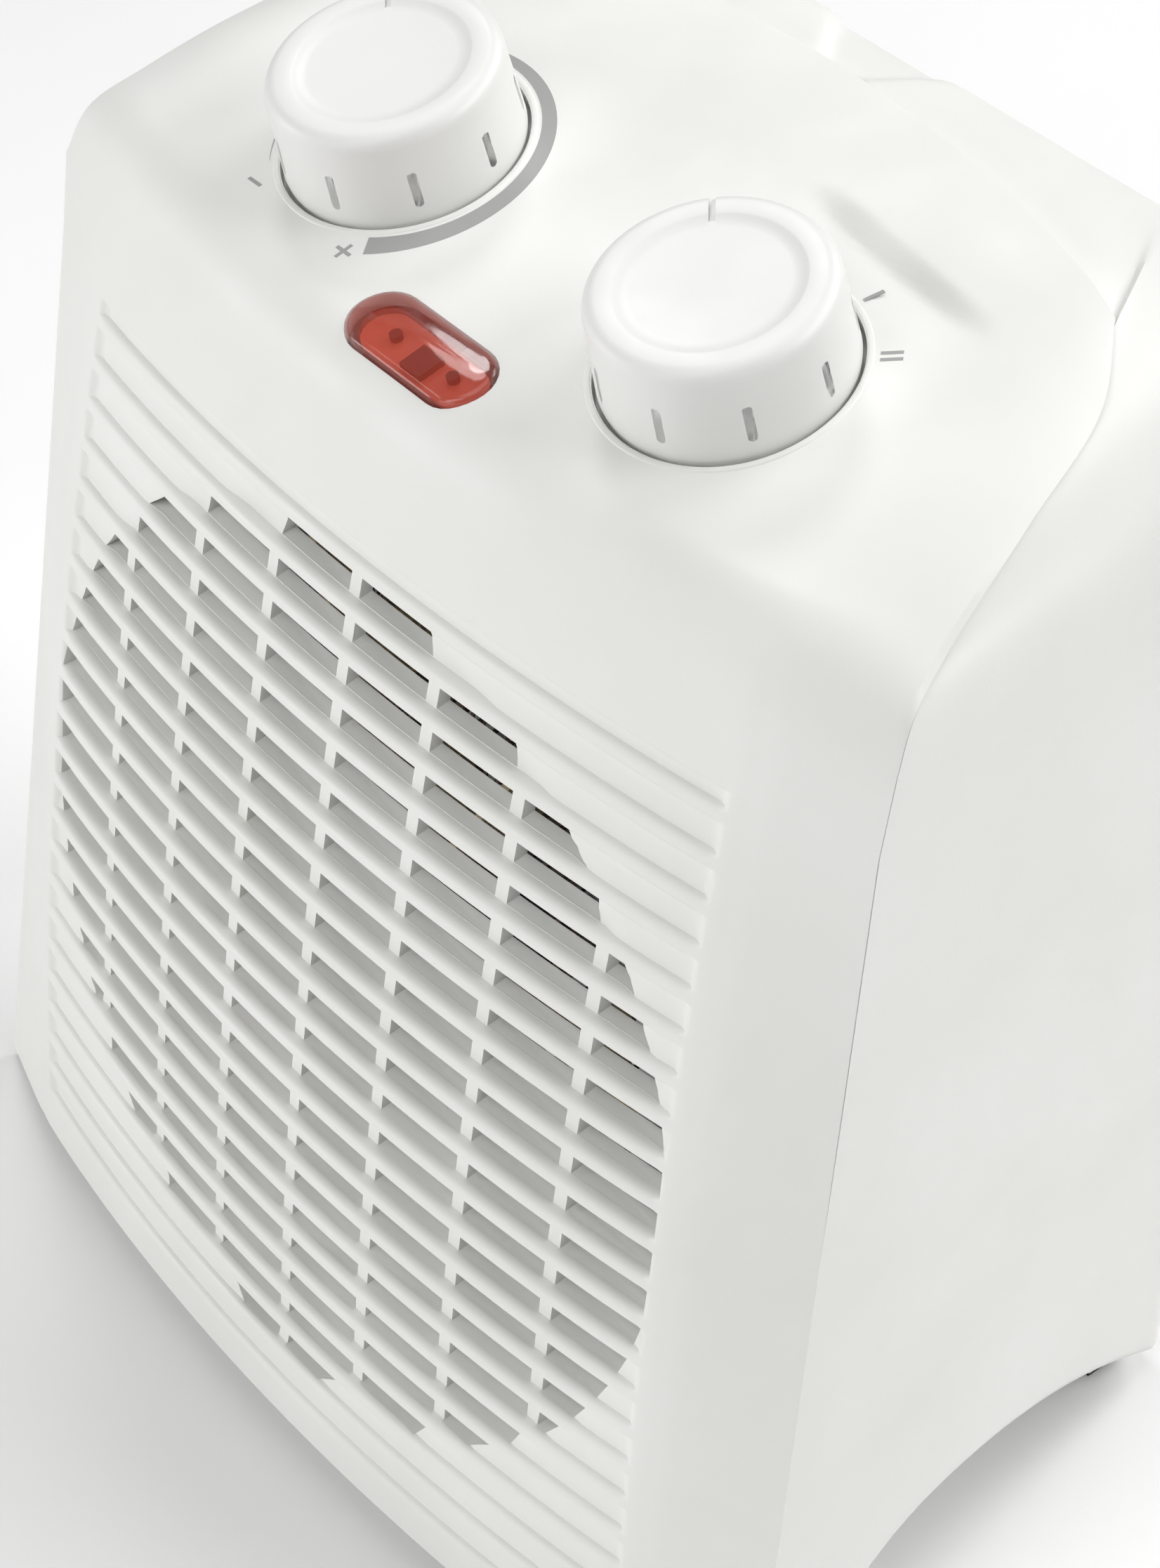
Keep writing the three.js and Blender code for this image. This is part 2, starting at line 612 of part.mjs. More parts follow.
// The mains lead's inlet bush: a collar outside, a neck through the wall and a collar inside.
const BUSH = { bore: 3.6, collar: 9.5, inner: 2.5, outer: 1.6 };
function cableBush() {
  const { bore, collar, inner, outer } = BUSH;
  const neck = INLET.hole - FIT;
  const outside = REAR_Y + FIT;
  const inside = REAR_Y - WALL - FIT;
  const profile = [
    [bore, inside - inner],
    [collar, inside - inner],
    [collar, inside],
    [neck, inside],
    [neck, outside],
    [collar, outside],
    [collar - 1, outside + outer],
    [bore, outside + outer],
    [bore, inside - inner],
  ];
  return backwards(turned(profile, 20)).translate(INLET.x, 0, INLET.z);
}
piece("cable_inlet_bush", "black_plastic", cableBush());

// ---- knobs, switches and pilot light, in the panel group ----
const KNOB = { foot: 19.3, crown: 18.2, height: 16.8, below: -5.5, wall: 2.2 };
const GROOVES = 9;
const FIRST_GROOVE = degToRad(-29);
const POINTER = degToRad(138); // both pointers stand here at rest, anticlockwise from +x
const DISH = { radius: 14.2, floor: 11, depth: 0.8 }; // shallow hollow in a knob's top

function knob() {
  const { foot, crown, height, below, wall } = KNOB;
  const ceiling = height - wall - 1.2;
  const drum = turned(
    [
      [foot - wall, below],
      [foot, below],
      [foot, 0],
      [crown, height - 1.8],
      [crown - 1.8, height],
      [DISH.radius, height],
      [DISH.floor, height - 0.75 * DISH.depth],
      [0, height - DISH.depth],
      [0, ceiling],
      [crown - wall - 1.5, ceiling],
      [foot - wall, 0],
      [foot - wall, below],
    ],
    36,
  );
  const socket = tube(5.4, SHAFT_RADIUS + FIT, below, height - 3, 16);
  const grips = [];
  for (let i = 0; i < GROOVES; i++) {
    const angle = FIRST_GROOVE + (2 * Math.PI * i) / GROOVES;
    const groove = box(-1, 1, -1, 1, 2, height - 1.6).translate(crown + 1.1, 0, 0);
    grips.push(groove.rotateZ(angle));
  }
  const notch = box(crown - 4.8, crown + 2, -0.5, 0.5, height - 0.9, height + 1);
  grips.push(notch.rotateZ(POINTER));
  return cut(join(drum, socket), ...grips);
}

const SHAFT_FOOT = -14;
function shaft() {
  return rod(SHAFT_RADIUS, SHAFT_FOOT, KNOB.height - 4.4, 16);
}

const BRACKET_TOP = -WELL_DEPTH - 2 - FIT;
const BRACKET_SHEET = 1.2;
const BODY_TOP = BRACKET_TOP - BRACKET_SHEET - FIT;
for (const [side, name] of [[-1, "thermostat"], [1, "selector"]]) {
  const place = new THREE.Group();
  place.position.x = side * KNOB_OFFSET;
  panel.add(place);
  piece(`${name}_knob`, "knob_white", knob(), place);
  piece(`${name}_shaft`, "brass", shaft(), place);
}

const bodyBore = rod(SHAFT_RADIUS + FIT, SHAFT_FOOT - FIT, BODY_TOP + 2, 20);
piece(
  "thermostat_body",
  "black_plastic",
  cut(box(-14, 14, -12, 12, BODY_TOP - 20, BODY_TOP), bodyBore.clone()).translate(-KNOB_OFFSET, 0, 0),
  panel,
);
piece(
  "selector_switch",
  "black_plastic",
  cut(rod(15, BODY_TOP - 24, BODY_TOP, 24), bodyBore.clone()).translate(KNOB_OFFSET, 0, 0),
  panel,
);

// A strip of sheet under both wells that carries the thermostat and the selector switch.
function controlBracket() {
  const halfLength = 58;
  const halfWidth = 15;
  const outline = [
    [-halfLength, -halfWidth],
    [halfLength, -halfWidth],
    [halfLength, halfWidth],
    [-halfLength, halfWidth],
  ];
  const fixing = [0, 9, 1.9];
  const holes = [[-KNOB_OFFSET, 0, SHAFT_HOLE], [KNOB_OFFSET, 0, SHAFT_HOLE], fixing];
  return plate(outline, holes, BRACKET_SHEET).translate(0, 0, BRACKET_TOP - BRACKET_SHEET);
}
piece("control_bracket", "sheet_steel", controlBracket(), panel);

function pilotLens() {
  const { length, width, proud, depth } = LENS;
  const body = stadium(length, width, proud - depth, proud);
  const hollow = stadium(length - 2.6, width - 2.6, proud - depth - 1, proud - 1.4);
  return cut(body, hollow).translate(0, LENS.v, 0);
}
piece("pilot_lens", "lens_red", pilotLens(), panel);

// The lamp holder closes the lens from below and carries two neon lamps and a middle block.
const HOLDER_TOP = LENS.proud - LENS.depth - FIT;
function lampHolder() {
  const slab = stadium(LENS.length, LENS.width, HOLDER_TOP - 2.5, HOLDER_TOP);
  const block = box(-3.2, 3.2, -2.6, 2.6, HOLDER_TOP - 1, HOLDER_TOP + 5);
  return join(slab, block).translate(0, LENS.v, 0);
}
piece("lamp_holder", "black_plastic", lampHolder(), panel);
for (const [side, name] of [[-1, "left"], [1, "right"]]) {
  const lamp = rod(2.1, HOLDER_TOP + FIT, HOLDER_TOP + 5.5, 12).translate(8.5 * side, LENS.v, 0);
  piece(`neon_lamp_${name}`, "neon_glass", lamp, panel);
}

// ---- heating element, fan and motor, in the front group on the grille's axis ----
const blower = new THREE.Group();
blower.position.z = BLOWER_CENTRE;
front.add(blower);

const DUCT = { front: 17, rear: 68, sheet: 1, flange: 3 };
function airDuct() {
  const { front: low, rear: high, sheet, flange } = DUCT;
  const inner = DUCT_RADIUS - sheet;
  const profile = [
    [inner, low],
    [DUCT_RADIUS + flange, low],
    [DUCT_RADIUS + flange, low + sheet],
    [DUCT_RADIUS, low + sheet],
    [DUCT_RADIUS, high - sheet],
    [DUCT_RADIUS + flange, high - sheet],
    [DUCT_RADIUS + flange, high],
    [inner, high],
    [inner, low],
  ];
  return backwards(turned(profile, 32));
}
piece("air_duct", "sheet_steel", airDuct(), blower);

const COILS = { outer: 54, inner: 33 }; // winding radii of the two heating circuits
const COIL = { radius: 4.5, y: 32 };
const coilRing = (radius, thickness) => {
  const torus = new THREE.TorusGeometry(radius, thickness, 6, 28);
  return torus.rotateX(Math.PI / 2).translate(0, COIL.y, 0);
};
function elementFrame() {
  const boards = [0, 60, 120].map((angle) =>
    box(-65, 65, COIL.y - 11, COIL.y + 11, -0.7, 0.7).rotateY(degToRad(angle)),
  );
  const notches = Object.values(COILS).map((radius) => coilRing(radius, COIL.radius + FIT));
  return cut(join(...boards), ...notches);
}
piece("element_frame", "mica", elementFrame(), blower);
for (const [name, radius] of Object.entries(COILS)) {
  piece(`heating_coil_${name}`, "resistance_wire", coilRing(radius, COIL.radius), blower);
}

// The cut-out and the fuse lie on the level mica board, one each side of the middle.
const BOARD_TOP = 0.7 + FIT;
piece(
  "thermal_cutout",
  "black_plastic",
  rod(7, BOARD_TOP, BOARD_TOP + 6, 20).translate(19.5, COIL.y, 0),
  blower,
);
const fuse = backwards(rod(2, COIL.y - 9, COIL.y + 9, 12)).translate(-19, 0, BOARD_TOP + 2);
piece("thermal_fuse", "sheet_steel", fuse, blower);

const FAN = { hub: 15, tip: 62, front: 48, rear: 66, blades: 6 };
// One fan blade: a plate from the hub to the tip, pitched more steeply at its root.
function fanBlade(angle) {
  const { hub, tip, front: low, rear: high } = FAN;
  const blade = new THREE.BoxGeometry(tip - hub + 4, 1.4, 38, 4, 1, 3);
  const position = blade.getAttribute("position");
  for (let i = 0; i < position.count; i++) {
    const radius = position.getX(i) + (hub + tip) / 2 - 2;
    const share = (radius - hub) / (tip - hub);
    const chord = position.getZ(i) * lerp(0.42, 1, Math.max(share, 0));
    const pitch = degToRad(lerp(42, 20, Math.max(share, 0)));
    const thick = position.getY(i);
    position.setXYZ(
      i,
      radius,
      (low + high) / 2 + thick * Math.cos(pitch) + chord * Math.sin(pitch),
      chord * Math.cos(pitch) - thick * Math.sin(pitch),
    );
  }
  return blade.rotateY(angle);
}
function fanImpeller() {
  const { hub, front: low, rear: high, blades } = FAN;
  const barrel = backwards(tube(hub, SHAFT_RADIUS + FIT, low, high, 24));
  const all = [barrel];
  for (let i = 0; i < blades; i++) all.push(fanBlade((2 * Math.PI * i) / blades));
  return join(...all);
}
piece("fan_impeller", "fan_aluminium", fanImpeller(), blower);
piece("motor_shaft", "motor_steel", backwards(rod(SHAFT_RADIUS, 46, 112, 20)), blower);

const ROTOR_RADIUS = 15;
const STACK = { half: 30, bottom: -46, top: 24, thick: 16 };
const STUD_RADIUS = 1.8;
const STUD_X = 24;
piece(
  "motor_rotor",
  "motor_steel",
  backwards(tube(ROTOR_RADIUS, SHAFT_RADIUS + FIT, MOTOR_Y - 9, MOTOR_Y + 9, 32)),
  blower,
);
function motorStator() {
  const { half, bottom, top, thick } = STACK;
  const low = MOTOR_Y - thick / 2;
  const high = MOTOR_Y + thick / 2;
  const stack = box(-half, half, low, high, bottom, top);
  const bore = backwards(rod(ROTOR_RADIUS + 0.5, low - 1, high + 1, 32));
  const window = box(-19, 19, low - 1, high + 1, bottom + 10, bottom + 27);
  const studHoles = [-1, 1].map((side) =>
    backwards(rod(STUD_RADIUS + FIT, low - 1, high + 1, 12)).translate(side * STUD_X, 0, 0),
  );
  return cut(stack, bore, window, ...studHoles);
}
piece("motor_stator", "motor_steel", motorStator(), blower);
function motorWinding() {
  const { bottom, thick } = STACK;
  const limb = box(-20, 20, MOTOR_Y - thick / 2 - FIT, MOTOR_Y + thick / 2 + FIT, bottom - FIT, bottom + 10 + FIT);
  return cut(box(-17, 17, MOTOR_Y - 15, MOTOR_Y + 15, bottom - 8, bottom + 18), limb);
}
piece("motor_winding", "copper_winding", motorWinding(), blower);

// Bearing straps across the front and the rear of the stack, with the shaft's bushes in them.
const BUSH_RADIUS = 6;
function bearingStrap(low) {
  const strap = box(-28, 28, low, low + 2, -9, 9);
  return cut(strap, backwards(rod(BUSH_RADIUS + FIT, low - 1, low + 3, 24)));
}
const strapFront = DUCT.rear + 1.6 + 2 * FIT;
const strapRear = MOTOR_Y + STACK.thick / 2 + 10;
for (const [name, low] of [["front", strapFront], ["rear", strapRear]]) {
  piece(`bearing_strap_${name}`, "sheet_steel", bearingStrap(low), blower);
  const bush = tube(BUSH_RADIUS, SHAFT_RADIUS + 0.1, low - 1.5, low + 3.5, 24);
  piece(`bearing_bush_${name}`, "brass", backwards(bush), blower);
}
for (const [side, name] of [[-1, "left"], [1, "right"]]) {
  const x = side * STUD_X;
  const stud = backwards(rod(STUD_RADIUS, strapFront + 2 + FIT, strapRear - FIT, 12)).translate(x, 0, 0);
  piece(`motor_stud_${name}`, "sheet_steel", stud, blower);
}

// A three-armed spider carries the motor on the duct's rear flange.
function fanSpider() {
  const low = DUCT.rear + FIT;
  const high = low + 1.6;
  const outer = DUCT_RADIUS + DUCT.flange;
  const hub = backwards(tube(34, 22, low, high, 28));
  const arms = [90, 210, 330].map((angle) =>
    box(30, outer - 1, low, high, -6, 6).rotateY(degToRad(angle)),
  );
  const rim = backwards(tube(outer, DUCT_RADIUS - 3, low, high, 32));
  return join(hub, rim, ...arms);
}
piece("fan_spider", "sheet_steel", fanSpider(), blower);

// ---- wiring ----
// The terminal block stands on the rear wall beside the inlet.
const TERMINALS = { x: 36, z: 28, length: 32, height: 12, depth: 12, poles: 3, pitch: 10, bore: 2.4 };
function terminalBlock() {
  const { x, z, length, height, depth, poles, pitch, bore } = TERMINALS;
  const back = REAR_Y - WALL - FIT;
  const halfLength = length / 2;
  const halfHeight = height / 2;
  const body = box(x - halfLength, x + halfLength, back - depth, back, z - halfHeight, z + halfHeight);
  const holes = range(poles).map((k) => {
    const across = x + (k - (poles - 1) / 2) * pitch;
    return backwards(rod(bore, back - depth - 1, back + 1, 10)).translate(across, 0, z);
  });
  return cut(body, ...holes);
}
piece("terminal_block", "black_plastic", terminalBlock());

export default heater;
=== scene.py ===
"""An upright white fan convector heater, for Blender 4.5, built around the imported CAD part.

The two mouldings, the knobs, the pilot lens and the heating coils are rebuilt here as fine meshes in
place of their CAD nodes. Everything else is the CAD node itself with a material. Shapes are worked
out in millimetres, in three frames: the body, the leaning front (x across, y the depth behind the
grille's nearest point, z up its slope) and the control panel on top of it.
"""

import math

import bmesh
import bpy
import numpy as np
from mathutils import Matrix, Vector
from mathutils.bvhtree import BVHTree


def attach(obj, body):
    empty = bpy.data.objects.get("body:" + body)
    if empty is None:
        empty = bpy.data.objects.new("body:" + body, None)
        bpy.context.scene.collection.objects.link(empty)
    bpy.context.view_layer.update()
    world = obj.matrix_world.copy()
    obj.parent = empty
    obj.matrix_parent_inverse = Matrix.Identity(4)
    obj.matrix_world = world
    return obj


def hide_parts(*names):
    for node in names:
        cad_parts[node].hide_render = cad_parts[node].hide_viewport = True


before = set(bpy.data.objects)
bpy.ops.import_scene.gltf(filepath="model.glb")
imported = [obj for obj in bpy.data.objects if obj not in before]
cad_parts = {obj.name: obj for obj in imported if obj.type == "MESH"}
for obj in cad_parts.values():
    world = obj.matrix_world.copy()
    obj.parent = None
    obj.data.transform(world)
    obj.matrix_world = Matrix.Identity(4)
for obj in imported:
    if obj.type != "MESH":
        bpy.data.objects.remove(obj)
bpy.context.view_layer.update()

# ---- dimensions, in millimetres ----
MM = 0.001
LEAN = math.radians(8.5)  # how far the front leans back
FRONT_AT = (0, -48, 187)  # origin of the front's frame, in the body
WALL = 3  # thickness of both mouldings
FIT = 0.35  # gap between pieces that fit together

ACROSS_RADIUS = 455  # radius of the front's curve from side to side
UP_RADIUS = 1081  # radius of its curve from foot to ridge
FRONT_MIDDLE = -80  # height of its nearest point
FRONT_FOOT = -182
SIDE_FOOT = -184
RIDGE = 5.5  # height where the ribs end and the plain apron starts
APRON_TOP = 24
FOLD_RADIUS = 13  # rounding between the apron and the panel
PANEL_SLOPE = math.radians(22.5)
PANEL_LENGTH = 84.5
PANEL_AT = 29.4  # from the panel's front edge to the line of the knobs
CORNER_RADIUS = 28  # rounding of the body's upper corners
SEAM_POINTS = (  # the upper seam of the right side, from the apron to the top's rear
    (104, 18.5, 20),
    (102.5, 21.3, 28),
    (99, 29.5, 34),
    (93, 48.5, 46),
    (85, 69, 55),
    (75, 80, 62),
)
FOLD_SHARE = 0.4  # share of the upper seam that lies beside the fold

SLOT_PITCH = 8
SLOT_HEIGHT = 5.2
SLOT_ROWS = 21
MULLION_PITCH = 21.03
MULLION_WIDTH = 2.6
GRILLE_RADIUS = 84
GRILLE_CENTRE = -82
RIB = SLOT_PITCH - SLOT_HEIGHT
RIB_ROUND = 0.4  # rounding of a rib's lower front edge
RIB_SHOULDER = 1.5  # height of the soft shoulder above it
RELIEF = 1.2  # how far the ribs stand out of the wall between them
MULLION_SET_BACK = 2.1  # how far they stand out of the grille's mullions
BLADE_DEPTH = 4.6  # a rib's depth, front to rear, where the slots are open
BLADE_RISE = 0.7  # how much a rib's top climbs from CLIMB_START to its rear
EDGE_STRIP = 3.4  # plain strip between the ends of the ribs and the rim

KNOB_OFFSET = 39.4
WELL_RADIUS = 20.5
WELL_DEPTH = 3.2
LENS_LENGTH = 30.5
LENS_WIDTH = 12.1
LENS_V = -27.8  # how far the lens lies ahead of the knobs

REAR_Y = 68.2  # the rear wall's outer face
REAR_ROUND = 7  # rounding of its edge
REAR_HALF = 91  # half its width
REAR_SHOULDER = 208  # height where its corners start to round
REAR_TOP = 239
TOP_STEP = 2.4  # how far the housing's top lies below the panel's rear edge
FOOT_HEIGHT = 2
FLOOR_EDGE = 7  # height of the housing's floor edge
ARCH_APEX = 30
ARCH_MIDDLE = -6
ARCH_FRONT = 47
ARCH_REAR = 74
ARCH_ROUND = 2.4  # rounding of the housing's lower edge
INNER_ROUND = 0.5  # the same edge on the inside

BOSSES = ((-78, -145), (78, -145), (-72, 6), (72, 6))
BOSS_END = 46  # depth where the cover's screw bosses end
BLOWER_CENTRE = -73

UP_PANEL = np.array([math.cos(PANEL_SLOPE), math.sin(PANEL_SLOPE)])
OFF_PANEL = np.array([-UP_PANEL[1], UP_PANEL[0]])
APRON_Y = (RIDGE - FRONT_MIDDLE) ** 2 / (2 * UP_RADIUS)
PANEL_START = np.array([
    APRON_Y + FOLD_RADIUS * (1 - math.sin(PANEL_SLOPE)),
    APRON_TOP + FOLD_RADIUS * math.cos(PANEL_SLOPE),
])
PANEL_CENTRE = PANEL_START + PANEL_AT * UP_PANEL

FRONT = Matrix.Translation(FRONT_AT) @ Matrix.Rotation(-LEAN, 4, "X")
PANEL = FRONT @ Matrix.Translation((0, *PANEL_CENTRE)) @ Matrix.Rotation(PANEL_SLOPE, 4, "X")
BLOWER = FRONT @ Matrix.Translation((0, 0, BLOWER_CENTRE))
BACKWARDS = Matrix.Rotation(math.radians(-90), 4, "X")  # turns +Z to +Y, front to rear


# ---- meshes ----
def smoothstep(value, low, high):
    share = np.clip((value - low) / (high - low), 0, 1)
    return share * share * (3 - 2 * share)


def mesh_of(vertices, faces):
    """A mesh from points in millimetres, with coincident points merged and its faces turned outwards."""
    mesh = bpy.data.meshes.new("part")
    mesh.from_pydata([tuple(point) for point in np.asarray(vertices, float)], [], faces)
    work = bmesh.new()
    work.from_mesh(mesh)
    bmesh.ops.remove_doubles(work, verts=work.verts, dist=1e-4)
    loose = [edge for edge in work.edges if not edge.link_faces]
    bmesh.ops.delete(work, geom=loose, context="EDGES")
    bmesh.ops.recalc_face_normals(work, faces=work.faces)
    work.to_mesh(mesh)
    work.free()
    return mesh


def transformed(mesh, matrix):
    mesh.transform(matrix)
    return mesh


def joined(meshes):
    """Several meshes side by side in one."""
    work = bmesh.new()
    for mesh in meshes:
        work.from_mesh(mesh)
    together = bpy.data.meshes.new("part")
    work.to_mesh(together)
    work.free()
    return together


def boolean(base, tools, operation):
    """The base mesh united with, or cut by, all the tool meshes at once."""
    scene = bpy.context.scene.collection
    body = bpy.data.objects.new("base", base)
    tool = bpy.data.objects.new("tool", joined(tools))
    scene.objects.link(body)
    scene.objects.link(tool)
    modifier = body.modifiers.new("boolean", "BOOLEAN")
    modifier.operation = operation
    modifier.solver = "MANIFOLD"
    modifier.object = tool
    graph = bpy.context.evaluated_depsgraph_get()
    made = bpy.data.meshes.new_from_object(body.evaluated_get(graph))
    bpy.data.objects.remove(body)
    bpy.data.objects.remove(tool)
    return made


def grid_faces(rows, columns, start=0, ring=False, flip=False):
    """Quads over a grid of points, row after row. A ring's last column meets its first."""
    faces = []
    for i in range(rows - 1):
        for j in range(columns if ring else columns - 1):
            near = start + i * columns
            far = near + columns
            after = (j + 1) % columns
            quad = (near + j, near + after, far + after, far + j)
            faces.append(quad[::-1] if flip else quad)
    return faces


def loft(rings):
    """A closed solid through rings of the same count, with a flat cap at each end."""
    count = len(rings[0])
    faces = grid_faces(len(rings), count, ring=True)
    faces.append(tuple(range(count))[::-1])
    faces.append(tuple(range((len(rings) - 1) * count, len(rings) * count)))
    return mesh_of(np.concatenate(rings), faces)


def closed_loft(rings):
    """A closed solid through rings of the same count, the last of which meets the first."""
    count = len(rings[0])
    faces = grid_faces(len(rings), count, ring=True)
    last = (len(rings) - 1) * count
    for j in range(count):
        after = (j + 1) % count
        faces.append((last + j, last + after, after, j))
    return mesh_of(np.concatenate(rings), faces)


def turned(profile, segments):
    """A closed profile of radius and height, turned about the Z axis."""
    angles = np.linspace(0, 2 * math.pi, segments, endpoint=False)
    rings = []
    for radius, height in profile:
        level = np.full(segments, height)
        rings.append(np.stack([radius * np.cos(angles), radius * np.sin(angles), level], axis=1))
    return closed_loft(rings)


def rod(radius, low, high, segments=48):
    return turned([(0, low), (radius, low), (radius, high), (0, high)], segments)


def prism(outline, low, high):
    """An outline in x and y, drawn out from low to high along z."""
    return loft([np.array([(x, y, height) for x, y in outline], float) for height in (low, high)])


def box(x0, x1, y0, y1, z0, z1):
    return prism([(x0, y0), (x1, y0), (x1, y1), (x0, y1)], z0, z1)


def stadium(length, width, steps=14):
    """Outline of a slot with round ends, along x."""
    straight = (length - width) / 2
    points = []
    for side in (1, -1):
        for k in range(steps + 1):
            angle = math.pi * (k / steps - 0.5)
            x = side * (straight + width / 2 * math.cos(angle))
            points.append((x, side * width / 2 * math.sin(angle)))
    return points


CREASE = math.radians(35)  # faces that meet more sharply get a hard edge


def show(name, mesh, matrix, body, slot, nodes=(), material=None):
    """Puts a mesh in the scene as a piece that rides on a body and stands for the CAD nodes named.
    Its material is the one named like its slot, unless another is given."""
    mesh.transform(Matrix.Scale(MM, 4) @ matrix)
    mesh.name = name
    mesh.materials.clear()
    mesh.materials.append(materials[material or slot])
    mesh.shade_smooth()
    mesh.set_sharp_from_angle(angle=CREASE)
    piece = bpy.data.objects.new(name, mesh)
    bpy.context.scene.collection.objects.link(piece)
    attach(piece, body)
    if nodes:
        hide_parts(*nodes)
    return piece


# ---- materials ----
def new_material(name, metallic=0.0, coat=0.0):
    """A material and its node tree."""
    material = bpy.data.materials.new(name)
    material.use_nodes = True
    surface = material.node_tree.nodes["Principled BSDF"]
    surface.inputs["Metallic"].default_value = metallic
    surface.inputs["Coat Weight"].default_value = coat
    return material, material.node_tree


def place_texture(tree, stretch=(1, 1, 1)):
    """Coordinates in millimetres in the object's own frame, stretched along each axis."""
    where = tree.nodes.new("ShaderNodeTexCoord")
    scale = tree.nodes.new("ShaderNodeMapping")
    scale.inputs["Scale"].default_value = [s / MM for s in stretch]
    tree.links.new(where.outputs["Object"], scale.inputs["Vector"])
    return scale.outputs["Vector"]


def noise(tree, size, detail=3, stretch=(1, 1, 1)):
    """A cloudy pattern whose patches are about size millimetres across."""
    made = tree.nodes.new("ShaderNodeTexNoise")
    made.inputs["Scale"].default_value = 1 / size
    made.inputs["Detail"].default_value = detail
    tree.links.new(place_texture(tree, stretch), made.inputs["Vector"])
    return made.outputs["Fac"]


def bands(tree, spacing, axis):
    """Even bands square to an axis, spacing millimetres apart."""
    made = tree.nodes.new("ShaderNodeTexWave")
    made.bands_direction = axis
    made.inputs["Scale"].default_value = math.pi / (10 * spacing)
    made.inputs["Distortion"].default_value = 0.4
    tree.links.new(place_texture(tree), made.inputs["Vector"])
    return made.outputs["Fac"]


def flecks(tree, size):
    made = tree.nodes.new("ShaderNodeTexVoronoi")
    made.inputs["Scale"].default_value = 1 / size
    tree.links.new(place_texture(tree), made.inputs["Vector"])
    return made.outputs["Distance"]


def spread(tree, pattern, low=0, high=1):
    """The middle of a pattern's range, stretched from low to high."""
    made = tree.nodes.new("ShaderNodeMapRange")
    made.inputs["From Min"].default_value = 0.3
    made.inputs["From Max"].default_value = 0.7
    made.inputs["To Min"].default_value = low
    made.inputs["To Max"].default_value = high
    tree.links.new(pattern, made.inputs["Value"])
    return made.outputs["Result"]


def set_colour(material, pattern, dark, light):
    tree = material.node_tree
    mix = tree.nodes.new("ShaderNodeMix")
    mix.data_type = "RGBA"
    mix.inputs["A"].default_value = (*dark, 1)
    mix.inputs["B"].default_value = (*light, 1)
    tree.links.new(spread(tree, pattern), mix.inputs["Factor"])
    tree.links.new(mix.outputs["Result"], tree.nodes["Principled BSDF"].inputs["Base Color"])


def set_roughness(material, pattern, low, high):
    tree = material.node_tree
    surface = tree.nodes["Principled BSDF"]
    tree.links.new(spread(tree, pattern, low, high), surface.inputs["Roughness"])


def set_relief(material, pattern, depth, strength=1.0):
    """Bumps depth millimetres high."""
    tree = material.node_tree
    bump = tree.nodes.new("ShaderNodeBump")
    bump.inputs["Distance"].default_value = depth * MM
    bump.inputs["Strength"].default_value = strength
    tree.links.new(pattern, bump.inputs["Height"])
    tree.links.new(bump.outputs["Normal"], tree.nodes["Principled BSDF"].inputs["Normal"])


def moulded_plastic(name, dark, light, rough, grain, depth):
    """Injection-moulded plastic: a fine sparked grain, faint flow patches and uneven gloss."""
    material, tree = new_material(name)
    set_colour(material, noise(tree, 45, 4), dark, light)
    set_roughness(material, noise(tree, 12, 5), *rough)
    set_relief(material, noise(tree, grain, 2), depth)
    return material


def bare_metal(name, dark, light, rough, stretch, grain=0.5, depth=0.01):
    """Rolled or drawn metal: streaks along one direction and a dull bloom in patches."""
    material, tree = new_material(name, metallic=1.0)
    set_colour(material, noise(tree, 9, 5), dark, light)
    set_roughness(material, noise(tree, 2, 6, stretch), *rough)
    set_relief(material, noise(tree, grain, 3, stretch), depth)
    return material


def glass_red():
    """Tinted clear plastic with a polished outer face."""
    material, tree = new_material("lens_red", coat=1.0)
    surface = tree.nodes["Principled BSDF"]
    surface.inputs["Alpha"].default_value = 0.3
    surface.inputs["Specular IOR Level"].default_value = 0.9
    set_colour(material, noise(tree, 8, 3), (0.55, 0.07, 0.04), (0.62, 0.09, 0.055))
    set_roughness(material, noise(tree, 3, 4), 0.05, 0.12)
    set_relief(material, noise(tree, 5, 2), 0.02)
    return material


def lamp_glass():
    material, tree = new_material("neon_glass", coat=0.5)
    tree.nodes["Principled BSDF"].inputs["Transmission Weight"].default_value = 0.3
    set_colour(material, noise(tree, 2, 3), (0.20, 0.10, 0.07), (0.36, 0.20, 0.14))
    set_roughness(material, noise(tree, 1, 3), 0.06, 0.2)
    set_relief(material, noise(tree, 1.5, 2), 0.02)
    return material


def mica_board():
    """Pressed mica sheet: flakes of varied tone with a pearly gloss."""
    material, tree = new_material("mica", coat=0.2)
    set_colour(material, flecks(tree, 1.6), (0.30, 0.22, 0.11), (0.52, 0.42, 0.25))
    set_roughness(material, noise(tree, 4, 4), 0.35, 0.6)
    set_relief(material, flecks(tree, 0.8), 0.04)
    return material


def laminated_steel():
    """Stamped sheets stacked along the motor's axis, dulled by varnish."""
    material, tree = new_material("motor_steel", metallic=0.9)
    set_colour(material, noise(tree, 4, 5), (0.13, 0.13, 0.135), (0.24, 0.24, 0.25))
    set_roughness(material, noise(tree, 3, 4), 0.38, 0.6)
    set_relief(material, bands(tree, 0.6, "Y"), 0.08)
    return material


def wound_copper():
    """Layers of varnished wire across a bobbin."""
    material, tree = new_material("copper_winding", metallic=0.7, coat=0.4)
    set_colour(material, noise(tree, 3, 4), (0.30, 0.10, 0.035), (0.48, 0.19, 0.07))
    set_roughness(material, noise(tree, 2, 4), 0.25, 0.45)
    set_relief(material, bands(tree, 0.5, "Y"), 0.12)
    return material


